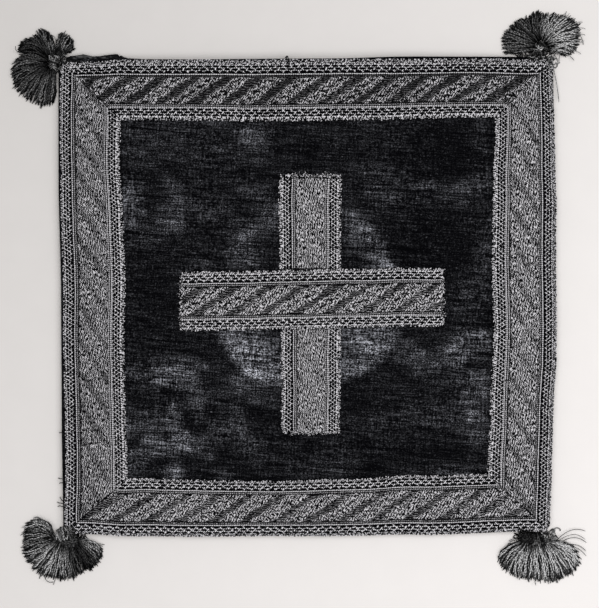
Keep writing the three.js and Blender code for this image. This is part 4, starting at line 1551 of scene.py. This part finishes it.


# The guides that each tassel's threads lie between, in one or two fans. A guide says where a thread
# leaves the head, where it bends, where it ends, all in millimetres, and how light it is, a few very
# dark guides being painted shade in a hollow among the threads.
FANS = {
    "top_left": (
        (
            (-130.6, 118, -130.3, 112, -130.7, 105.5, 0.27),
            (-131.0, 118, -130.3, 111, -131.5, 101.0, 0.35),
            (-131.5, 117.5, -131.0, 109, -133.2, 99.3, 0.41),
            (-132.0, 117.5, -134.0, 108.5, -137.0, 98.5, 0.43),
            (-133.0, 118, -138.0, 109, -142.3, 100.2, 0.43),
            (-134.0, 118.5, -142.0, 111, -146.7, 103.2, 0.43),
            (-134.3, 119, -144.5, 114, -151.2, 107.5, 0.41),
            (-134.5, 119.5, -146.0, 117.5, -153.2, 112.5, 0.41),
            (-134.7, 120.5, -146.0, 121, -153.4, 117.5, 0.41),
            (-134.5, 121.3, -144.0, 123.5, -152.7, 120.7, 0.38),
            (-134.0, 122, -142.0, 126, -148.5, 125.5, 0.32),
            (-133.5, 123, -142.5, 131, -150.2, 128.0, 0.27),
            (-133.0, 123.5, -140.0, 133.2, -148.8, 132.0, 0.27),
            (-132.7, 124, -138.0, 132.7, -144.0, 133.9, 0.32),
            (-132.3, 124, -135.5, 131, -141.0, 136.3, 0.38),
            (-131.6, 124.3, -133.8, 131, -138.0, 139.8, 0.41),
            (-131.0, 124.5, -131.6, 130.7, -134.2, 137.3, 0.41),
            (-130.4, 124.7, -130.8, 129, -132.0, 134.5, 0.35),
        ),
        (
            (-130.0, 126.2, -129.7, 131, -128.6, 137.5, 0.46),
            (-128.6, 126.2, -126.5, 130.7, -125.2, 136.8, 0.41),
            (-127.4, 126.2, -124.4, 130.3, -123.3, 136.3, 0.46),
            (-126.2, 126.2, -122.7, 129, -121.8, 134.6, 0.49),
            (-125.0, 126.4, -122.4, 127.2, -121.2, 128.2, 0.32),
        ),
    ),
    "top_right": (
        (
            (118.0, 127.5, 112.3, 126.6, 106.9, 126.3, 0.31),
            (117.2, 128.2, 109.0, 127.5, 101.1, 127.4, 0.42),
            (117.2, 129.4, 108.5, 129.8, 100.9, 130.0, 0.44),
            (117.2, 130.2, 108.5, 132.5, 100.7, 134.0, 0.39),
            (117.6, 131.0, 109.0, 135.0, 102.8, 137.9, 0.36),
            (118.0, 131.8, 110.6, 137.8, 106.5, 141.2, 0.34),
            (118.5, 132.3, 112.7, 139.5, 109.4, 144.2, 0.31),
            (119.0, 132.7, 114.3, 140.3, 112.7, 144.8, 0.26),
            (119.3, 133.0, 116.4, 140.6, 115.6, 146.4, 0.31),
            (119.7, 133.0, 118.0, 141.0, 119.7, 148.5, 0.36),
            (120.6, 133.0, 120.6, 140.6, 123.5, 147.0, 0.42),
            (121.4, 133.0, 123.0, 140.2, 127.2, 146.8, 0.52),
            (122.2, 132.7, 125.5, 139.3, 132.6, 145.9, 0.60),
            (122.8, 132.3, 127.6, 138.5, 138.0, 144.7, 0.68),
            (123.5, 131.9, 129.3, 136.9, 140.4, 141.4, 0.72),
            (123.9, 131.3, 130.9, 135.2, 142.5, 138.5, 0.70),
            (124.3, 130.6, 132.2, 133.5, 140.9, 135.2, 0.74),
            (124.3, 129.8, 133.0, 131.9, 141.4, 131.7, 0.73),
            (124.3, 129.0, 133.0, 129.8, 139.8, 128.6, 0.73),
            (124.3, 128.2, 131.7, 128.2, 138.2, 126.1, 0.70),
            (124.3, 127.3, 130.5, 127.3, 134.6, 124.6, 0.65),
        ),
    ),
    "bottom_left": (
        (
            (-130.8, -123.3, -132.5, -113.5, -142.3, -115.4, 0.57),
            (-131.2, -123.5, -134.2, -113.9, -146.1, -118.2, 0.62),
            (-131.6, -123.7, -136.8, -116.5, -146.8, -120.8, 0.62),
            (-131.6, -124.2, -137.6, -119.9, -146.8, -124.6, 0.59),
            (-130.8, -124.6, -139.3, -124.6, -147.6, -128.0, 0.54),
            (-129.9, -124.8, -139.7, -128.4, -147.9, -131.0, 0.62),
            (-129.0, -125.0, -138.5, -131.9, -146.1, -136.1, 0.68),
            (-128.2, -125.2, -135.9, -134.8, -142.3, -140.4, 0.68),
            (-127.4, -125.4, -133.3, -137.0, -137.6, -144.2, 0.70),
            (-126.5, -125.7, -130.3, -137.4, -132.9, -145.9, 0.62),
            (-125.2, -125.9, -126.9, -137.0, -127.4, -146.8, 0.54),
            (-123.9, -125.9, -123.9, -137.0, -121.8, -146.4, 0.49),
            (-122.2, -125.9, -120.1, -136.1, -116.7, -143.4, 0.26),
            (-120.5, -125.7, -115.8, -134.0, -112.0, -141.2, 0.14),
            (-119.2, -125.4, -112.8, -131.9, -108.6, -138.7, 0.25),
            (-118.4, -125.0, -110.7, -129.3, -106.0, -135.3, 0.6),
            (-118.0, -124.7, -110.3, -126.7, -106.2, -131.0, 0.70),
            (-117.7, -124.6, -112.0, -125.2, -107.7, -128.4, 0.59),
        ),
    ),
    "bottom_right": (
        (
            (110.9, -126.2, 101.7, -127.8, 98.9, -134.8, 0.56),
            (111.6, -126.6, 103.3, -130.2, 99.7, -137.7, 0.62),
            (112.4, -126.8, 105.7, -133.0, 102.5, -141.7, 0.70),
            (113.2, -127.0, 108.5, -135.4, 106.5, -144.1, 0.73),
            (114.4, -127.0, 111.6, -136.5, 110.9, -145.7, 0.70),
            (116.0, -127.0, 114.8, -136.9, 115.2, -146.3, 0.70),
            (117.6, -127.0, 118.0, -136.9, 119.6, -146.9, 0.76),
            (119.2, -127.0, 121.6, -136.9, 123.6, -147.7, 0.76),
            (120.8, -127.0, 125.2, -136.5, 127.5, -147.7, 0.76),
            (122.4, -127.0, 129.1, -135.4, 131.9, -146.3, 0.76),
            (123.6, -126.8, 132.3, -133.8, 135.9, -144.1, 0.73),
            (124.4, -126.6, 135.5, -132.6, 139.5, -141.3, 0.73),
            (124.8, -126.4, 136.7, -130.6, 141.5, -137.7, 0.78),
            (125.2, -126.2, 135.5, -128.6, 140.3, -133.4, 0.78),
            (125.4, -126.0, 132.3, -125.8, 136.7, -128.6, 0.64),
        ),
    ),
}
# How each tassel lies, in millimetres and degrees.
#   light: how light its threads are beside the other tassels'
#   threads: how many each of its fans has
#   turn: which way the head is bound
#   wraps: threads bound over an oval, with its middle, half length, half width and turn, how high
#     they arch, how many they are, and how light
#   curls: loose threads over an oval, with its middle, half width and half height, how many they
#     are, and how light
#   strays: single threads over the fan, with four corners of each one's path, and how light it is
TASSELS = {
    "top_left": {
        "light": 0.78,
        "threads": (380, 80),
        "turn": 70,
        "wraps": (
            (-130.6, 121.0, 3.6, 2.6, 75, 0.9, 12, 0.3),
            (-126.4, 122.6, 3.4, 2.2, -35, 0.7, 9, 0.3),
            (-127.6, 126.3, 3.6, 1.7, 0, 0.8, 8, 0.1),
        ),
        "curls": (
            (-131.0, 121.0, 2.6, 3.4, 16, 0.46),
            (-126.4, 122.8, 3.4, 2.6, 16, 0.5),
            (-128.4, 118.6, 1.6, 2.4, 7, 0.5),
        ),
        "strays": (
            (-131.5, 126, -134, 136, -131.2, 137.8, -129.8, 132, 0.3),
            (-129.6, 127, -128.5, 133, -126.5, 136, -124.8, 138, 0.4),
            (-150.5, 129.5, -151, 127, -149.5, 126, -146, 126.5, 0.4),
        ),
    },
    "top_right": {
        "light": 1.0,
        "threads": (460,),
        "turn": -30,
        "wraps": (
            (118.4, 124.0, 5.2, 2.4, 8, 0.7, 16, 0.4),
            (120.2, 129.6, 2.6, 1.8, 60, 0.8, 8, 0.35),
            (125.4, 123.6, 3.0, 2.0, -50, 0.6, 9, 0.5),
        ),
        "curls": (
            (126.6, 122.6, 2.8, 4.2, 20, 0.66),
            (118.8, 124.2, 4.6, 2.2, 16, 0.6),
            (119.2, 129.4, 1.2, 1.8, 5, 0.85),
            (111.4, 125.4, 4.0, 1.0, 9, 0.3),
        ),
        "strays": (
            (124.5, 133, 128, 138, 131.5, 143, 134.6, 148.0, 0.7),
            (125, 132.6, 129, 138, 132.5, 142.5, 135.8, 146.8, 0.75),
            (138, 137, 141, 136, 142.8, 134, 143.0, 130.5, 0.5),
            (133, 138, 137, 141, 140, 142.5, 142.6, 142.2, 0.7),
            (134, 136.5, 138.5, 138.6, 141.5, 140, 144.2, 138.8, 0.75),
            (135, 134.5, 139, 135.4, 142, 136.8, 144.0, 135.4, 0.7),
            (133.5, 131, 138, 131.6, 141, 131.2, 143.4, 132.6, 0.75),
            (132, 129, 136, 128, 139.6, 127.6, 141.8, 125.8, 0.7),
            (130, 127.5, 133.5, 125.5, 136.6, 124.8, 138.2, 122.4, 0.65),
            (132, 129, 131, 126, 130.0, 124, 130.4, 121.5, 0.5),
            (126, 127, 127.2, 125.5, 129.6, 124, 129.9, 121, 0.45),
            (126.5, 122, 127.6, 117, 129.6, 111, 130.4, 101, 0.7),
        ),
    },
    "bottom_left": {
        "light": 0.92,
        "threads": (460,),
        "turn": 8,
        "wraps": (
            (-125.2, -121.9, 5.6, 3.4, 22, 1.3, 26, 0.5),
            (-129.4, -122.6, 2.6, 1.7, 40, 0.8, 9, 0.42),
            (-116.8, -123.8, 2.8, 1.4, -20, 0.6, 8, 0.12),
        ),
        "curls": (
            (-125.6, -122.6, 3.6, 2.2, 12, 0.55),
            (-120.6, -123.4, 3.0, 1.6, 10, 0.3),
        ),
        "strays": (
            (-113, -125.6, -110.5, -127, -108, -127.6, -104.8, -128.4, 0.35),
            (-113, -126.4, -110.5, -127.8, -108, -128.1, -105.6, -129.2, 0.35),
            (-135.9, -143.5, -135.5, -147, -133.5, -148.2, -131.4, -147.6, 0.5),
            (-126, -127, -130, -132, -133.5, -137, -136, -141.5, 0.9),
            (-125, -128, -128, -133, -131, -137.5, -134, -141.5, 0.85),
            (-129, -140, -129.5, -144, -130.6, -147, -131.5, -149.2, 0.35),
        ),
    },
    "bottom_right": {
        "light": 1.1,
        "threads": (450,),
        "turn": 3,
        "wraps": (
            (113.6, -122.9, 5.4, 2.6, 0, 0.9, 16, 0.14),
            (121.0, -123.6, 4.4, 2.6, 5, 0.9, 14, 0.3),
        ),
        "curls": (
            (124.0, -123.9, 3.4, 1.9, 16, 0.6),
            (114.0, -123.6, 6.4, 2.2, 20, 0.22),
            (120.0, -126.0, 3.4, 2.0, 8, 0.4),
            (127.4, -121.4, 1.2, 2.4, 6, 0.55),
        ),
        "strays": (
            (129, -125.6, 133, -121.5, 138, -118.5, 144.2, -121.2, 0.35),
            (130, -125.9, 134.5, -122.6, 139.5, -121.2, 144.0, -125.6, 0.4),
            (132, -126.4, 135.5, -124, 140.5, -123.4, 144.6, -127.2, 0.4),
            (134, -128, 138, -127.4, 141.5, -128.2, 144.4, -131.6, 0.45),
            (134.5, -129, 138, -128.8, 141.4, -130, 144.4, -134.0, 0.5),
            (118, -136, 117.2, -142, 117.4, -146, 118.4, -149.2, 0.55),
            (109.5, -124.9, 107, -124.8, 105.5, -125.4, 104.6, -126.4, 0.12),
            (110.5, -125.4, 108, -125.4, 106.5, -126, 104.9, -126.8, 0.15),
        ),
    },
}
# The height of a fan's top, in millimetres, at shares of the way along its threads.
FAN_TOP = ((0.0, 0.2, 0.5, 0.8, 1.0), (6.2, 7.0, 5.8, 4.0, 2.4))
THREAD_STEPS = 14  # points along a thread
THREAD_SIDES = 6  # points round it
BEND = 2 / 3  # how far towards its bend a thread's curve is drawn from both ends
LOCK = 2.1  # millimetres from one lock of threads to the next, at their ends
TOP_PITCH = 0.84  # millimetres from one light thread to the next, half way out
HEAD_TURNS = 20  # of thread round a head
HEAD_STEPS = 18  # points along each turn, wrap or curl


class OBJECT_OT_burse_tassels(bpy.types.Operator):
    """Make the four tassels, each a fan of twisted threads round its bound head"""

    bl_idname = "object.burse_tassels"
    bl_label = "Tassels"

    def execute(self, context):
        sizes = context.scene.burse_tassels
        material = yarn_finish(sizes)
        for seed, (name, lie) in enumerate(TASSELS.items()):
            level, upright = name.split("_")
            under = surface_of(
                [f"tassel_{name}_head", f"tassel_{name}_fan", f"galloon_{level}", f"galloon_{upright}"]
            )
            self.fan(name, lie, sizes.thread / 2, material, np.random.default_rng(40 + seed))
            self.head(name, lie, material, under, np.random.default_rng(60 + seed))
        return {"FINISHED"}

    def fan(self, name, lie, radius, material, rng):
        """The spread threads, and single ones that stray over them."""
        paths, tones = [], []
        for guides, count in zip(FANS[name], lie["threads"]):
            strands, light = self.strands(np.array(guides), count, rng, radius)
            paths.append(strands)
            tones.append(light * lie["light"])
        for *corners, tone in lie["strays"]:
            flat = curve(np.reshape(corners, (1, 4, 2)) * MM, THREAD_STEPS)
            height = np.linspace(rng.uniform(3, 5), rng.uniform(0.8, 2.5), THREAD_STEPS) * MM
            paths.append(np.concatenate([flat, height[None, :, None]], 2))
            tones.append(np.array([tone]))
        paths, tones = np.concatenate(paths), np.concatenate(tones)
        thick = radius * rng.uniform(0.8, 1.15, (len(paths), 1)) * np.ones((1, THREAD_STEPS))
        thick[-len(lie["strays"]) :] *= THIN_STRAY
        thick[:, -1] *= 0.5
        self.threads(f"tassel_{name}_threads", paths, thick, tones, material, f"tassel_{name}_fan")

    @staticmethod
    def threads(name, paths, thick, tones, material, node):
        """One piece of many threads, with painted light along their crests and painted shade between
        them.
        """
        points, faces, around, along = tubes(paths, thick, THREAD_SIDES)
        made = piece(name, points, faces, material, [node])
        each = paths.shape[1] * THREAD_SIDES
        # Painted light on each thread's crest, and painted shade on its flanks.
        painted_crest_light = 0.1 + 0.9 * smooth(0.25 + 0.8 * np.sin(2 * math.pi * around))
        # Painted shade at each thread's start, where it leaves the head; the tip is a little darker in
        # colour.
        ends = np.interp(along, (0, 0.12, 0.35, 0.88, 1), (0.25, 0.6, 1, 1, 0.65))
        give(made, "tone", np.repeat(tones, each) * painted_crest_light * ends)
        long = np.linalg.norm(np.diff(paths, axis=1), axis=2).sum(1)
        unfold(made, "thread", around, along * np.repeat(long, each))
        thread_fields(made, *paths.shape[:2], THREAD_SIDES)

    def strands(self, guides, count, rng, radius):
        """Threads between neighbouring guides: dark ones below, darkened as painted shade, and light
        and dark by turns on top.
        """
        ends, knees = guides[:, 4:6], guides[:, 2:4]
        places = np.concatenate([[0], np.cumsum(np.linalg.norm(np.diff(ends, axis=0), axis=1))])
        middle = np.linalg.norm(np.diff((ends + knees) / 2, axis=0), axis=1).sum()
        top = int(middle / TOP_PITCH)
        low = count - 2 * top
        even = (np.arange(top) + 0.5 + rng.uniform(-0.3, 0.3, top)) / top
        place = np.concatenate([rng.random(low), (even + 0.5 / top) % 1, even]) * places[-1]
        layer = np.concatenate(
            [rng.uniform(0, 0.8, low), rng.uniform(0.7, 0.9, top), rng.uniform(0.85, 1, top)]
        )
        # Painted shade: the lower threads are darker under the upper ones.
        bright = np.concatenate(
            [rng.uniform(0.1, 0.7, low), rng.uniform(0.1, 0.45, top), rng.uniform(0.75, 1.7, top)]
        )
        centre = (np.floor(place / LOCK) + 0.5 + rng.normal(0, 0.1, count)) * LOCK
        pinched = mix(place, centre, rng.uniform(0.0, 0.45, count))

        def read(column, at):
            return np.interp(at, places, guides[:, column])

        start = np.stack([read(0, place), read(1, place)], 1)
        knee = np.stack([read(2, place), read(3, place)], 1)
        tip = np.stack([read(4, pinched), read(5, pinched)], 1)
        start += (knee - start) * rng.uniform(-0.12, 0.3, (count, 1)) * (0.4 + layer[:, None])
        short = rng.random((count, 1)) ** 3 * 0.28 + 0.1 * layer[:, None] ** 3
        long = np.where(rng.random((count, 1)) < 0.1, rng.uniform(0, 0.14, (count, 1)), 0)
        tip = tip - (tip - knee) * (short - long) + rng.normal(0, 0.45, (count, 2))
        knee += rng.normal(0, 0.45, (count, 2))
        corners = [start, start + (knee - start) * BEND, tip + (knee - tip) * BEND, tip]
        flat = curve(np.stack(corners, 1) * MM, THREAD_STEPS)
        u = np.linspace(0, 1, THREAD_STEPS)
        for turns, wide in ((1.3, 0.38), (2.9, 0.24)):
            phase = rng.random((count, 2, 1)) * 2 * math.pi
            size = wide * MM * rng.uniform(0.2, 1.4, (count, 2, 1))
            swing = size * np.sin(2 * math.pi * turns * u[None, None] + phase)
            flat += swing.transpose(0, 2, 1)
        dome = np.interp(u, *FAN_TOP) * MM
        height = radius + layer[:, None] * (dome[None] - 2 * radius)
        height = np.maximum(height + rng.normal(0, 0.1 * MM, height.shape), radius)
        return np.concatenate([flat, height[:, :, None]], 2), read(6, place) * bright

    def head(self, name, lie, material, under, rng):
        """The bound knot: turns of thread round it, wraps sewn over it, and loose curls."""
        paths, tones = self.turns(name, lie, rng)
        for bind, rows in ((self.wraps, lie["wraps"]), (self.curls, lie["curls"])):
            for row in rows:
                more, light = bind(row, under, rng)
                paths += more
                tones += light
        thick = np.full((len(paths), HEAD_STEPS), HEAD_RADIUS)
        thick[HEAD_TURNS:] *= THIN_WRAP
        paths, tones, node = np.array(paths), np.array(tones), f"tassel_{name}_head"
        self.threads(f"tassel_{name}_binding", paths, thick, tones, material, node)

    @staticmethod
    def turns(name, lie, rng):
        """Threads wound round and round the head."""
        low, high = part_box(f"tassel_{name}_head")
        centre, half = np.array((low + high) / 2), np.array((high - low) / 2)
        turn = math.radians(lie["turn"])
        paths = []
        for k in range(HEAD_TURNS):
            lean = (k / (HEAD_TURNS - 1) - 0.5) * 2.2
            tilt = turn + math.pi / 2 + rng.normal(0, 0.2)
            u = np.linspace(0, 2 * math.pi, HEAD_STEPS) + rng.random() * 6
            ring = np.stack([math.sin(lean) + 0 * u, math.cos(lean) * np.cos(u), np.sin(u)], 1)
            ring[:, Z] *= math.cos(lean)
            c, s = math.cos(tilt), math.sin(tilt)
            x = ring[:, X] * c - ring[:, Y] * s
            y = ring[:, X] * s + ring[:, Y] * c
            path = np.stack([x, y, ring[:, Z]], 1) * (half - HEAD_RADIUS)
            path = path * rng.uniform(0.93, 1.04) + centre
            path[:, Z] = np.maximum(path[:, Z], HEAD_RADIUS)
            paths.append(path)
        return paths, list(rng.uniform(0.08, 0.45, HEAD_TURNS))

    @staticmethod
    def wraps(row, under, rng):
        """Threads bound side by side over an oval of the corner."""
        x, y, long, wide, turn, dome, count, tone = row
        c, s = math.cos(math.radians(turn)), math.sin(math.radians(turn))
        paths = []
        for k in range(count):
            u = np.linspace(0, math.pi, HEAD_STEPS)
            off = ((k + 0.5) / count * 2 - 1) + rng.normal(0, 0.05) + rng.normal(0, 0.16) * np.cos(u)
            reach = np.sqrt(np.clip(1 - off**2, 0.05, 1)) * rng.uniform(0.85, 1.1)
            a = off * long + 0.15 * long * np.sin(u) * rng.normal(0, 0.6)
            b = wide * reach * np.cos(u)
            lift = dome * reach * np.sin(u) ** 0.7 + rng.uniform(-0.1, 0.35)
            paths.append(laid(x + a * c - b * s, y + a * s + b * c, lift, under))
        return paths, list(tone * (0.25 + 1.5 * rng.random(count) ** 1.5))

    @staticmethod
    def curls(row, under, rng):
        """Loose curls of thread over an oval of the corner."""
        x, y, wide, high, count, tone = row
        paths = []
        for _ in range(count):
            u = np.linspace(0, 1, HEAD_STEPS)
            at = rng.uniform(0, 2 * math.pi) + u * rng.uniform(2.5, 6.5) * rng.choice((-1, 1))
            size = rng.uniform(0.45, 1.5) * (1 - 0.4 * u)
            away, way = math.sqrt(rng.random()), rng.uniform(0, 2 * math.pi)
            a = x + wide * away * math.cos(way) + size * np.cos(at) + u * rng.normal(0, 1.5)
            b = y + high * away * math.sin(way) + size * np.sin(at) + u * rng.normal(0, 1.5)
            paths.append(laid(a, b, 0.25 + 0.6 * np.sin(math.pi * u), under))
        return paths, list(tone * (0.3 + 1.3 * rng.random(count)))


# ---- The stage ----


class OBJECT_OT_burse_stage(bpy.types.Operator):
    """Make the pale floor, the lamps and the camera that looks straight down"""

    bl_idname = "object.burse_stage"
    bl_label = "Stage"

    FLOOR = 8.0  # metres across
    SENSOR = 36  # millimetres across
    ASIDE = (0.66 * MM, -2.88 * MM)  # from the burse's middle to the camera
    KEY = ((0.42, 0.05, 1.2), 0.9)  # a lamp's place, and its width
    FILL = ((-0.1, -0.05, 1.35), 1.0)

    def execute(self, context):
        sizes = context.scene.burse_stage
        bpy.ops.object.select_all(action="DESELECT")
        bpy.ops.mesh.primitive_plane_add(size=self.FLOOR, location=(0, 0, 0))
        floor = context.object
        floor.name = "floor"
        floor.data.materials.append(self.floor_finish(sizes))
        self.lamp("key_lamp", sizes.key, *self.KEY)
        self.lamp("fill_lamp", sizes.fill, *self.FILL)
        world = bpy.data.worlds.new("room")
        context.scene.world = world
        world.use_nodes = True
        backdrop = world.node_tree.nodes["Background"]
        backdrop.inputs["Color"].default_value = (1.0, 0.985, 0.97, 1)
        backdrop.inputs["Strength"].default_value = sizes.ambient
        self.camera(context, sizes)
        context.scene.view_settings.view_transform = "Standard"
        return {"FINISHED"}

    def camera(self, context, sizes):
        low, high = FRAME_BOX
        middle = (low + high) / 2
        data = bpy.data.cameras.new("camera")
        data.lens = sizes.lens
        data.sensor_width = self.SENSOR
        camera = bpy.data.objects.new("camera", data)
        context.collection.objects.link(camera)
        away = sizes.view * data.lens / data.sensor_width
        x, y = self.ASIDE
        camera.location = (middle.x + x, middle.y + y, high.z / 2 + away)
        context.scene.camera = camera

    @staticmethod
    def floor_finish(sizes):
        finish = Finish("pale_floor", {"Roughness": 0.9, "Specular IOR Level": 0.1})
        parts = finish.node("ShaderNodeSeparateXYZ", {0: finish.object()})
        grain = finish.noise(finish.object(), (70.0, 70.0, 70.0), detail=3.0)
        # Painted light: the floor's colour darkens towards the far left and the top, where less light
        # falls from the lamp on the right; the grain is the floor's own.
        painted_light_share = finish.weighted(
            (parts.outputs["X"], 1.62), (parts.outputs["Y"], -1.24), (grain, 0.1), (1.0, 0.54)
        )
        tone = finish.blend(painted_light_share, sizes.floor_far_shaded, sizes.floor_near_lit)
        finish.feed(finish.shader.inputs["Base Color"], tone)
        return finish.material

    @staticmethod
    def lamp(name, level, place, size):
        """A square lamp whose light on the burse is that share of full light."""
        data = bpy.data.lights.new(name, "AREA")
        data.size = size
        away = Vector(place)
        slant = away.normalized().z
        data.energy = level * math.pi**2 * away.length_squared / slant
        lamp = bpy.data.objects.new(name, data)
        bpy.context.collection.objects.link(lamp)
        lamp.location = away
        lamp.rotation_euler = away.to_track_quat("Z", "Y").to_euler()


# ---- The sidebar ----


class VIEW3D_PT_burse(bpy.types.Panel):
    """The burse's pieces, in the order in which they are made"""

    bl_label = "Liturgical Burse"
    bl_idname = "VIEW3D_PT_burse"
    bl_space_type = "VIEW_3D"
    bl_region_type = "UI"
    bl_category = "Burse"

    def draw(self, context):
        for group in GROUPS:
            box = self.layout.box()
            settings = getattr(context.scene, group)
            for name in settings.bl_rna.properties.keys():
                if name not in ("rna_type", "name"):
                    box.prop(settings, name)
        for step in STEPS:
            self.layout.operator(step.bl_idname)


GROUPS = {
    "burse_galloon": BurseGalloon,
    "burse_velvet": BurseVelvet,
    "burse_cloth": BurseCloth,
    "burse_tassels": BurseTassels,
    "burse_stage": BurseStage,
}
STEPS = (
    OBJECT_OT_burse_stage,
    OBJECT_OT_burse_back,
    OBJECT_OT_burse_velvet,
    OBJECT_OT_burse_frame,
    OBJECT_OT_burse_cross,
    OBJECT_OT_burse_tassels,
)
CLASSES = (*GROUPS.values(), *STEPS, VIEW3D_PT_burse)


def register():
    for cls in CLASSES:
        bpy.utils.register_class(cls)
    for name, group in GROUPS.items():
        setattr(bpy.types.Scene, name, bpy.props.PointerProperty(type=group))


def unregister():
    for name in GROUPS:
        delattr(bpy.types.Scene, name)
    for cls in reversed(CLASSES):
        bpy.utils.unregister_class(cls)


def main():
    register()
    bpy.ops.object.burse_stage()
    bpy.ops.object.burse_back()
    bpy.ops.object.burse_velvet()
    bpy.ops.object.burse_frame()
    bpy.ops.object.burse_cross()
    bpy.ops.object.burse_tassels()


if __name__ == "__main__":
    main()
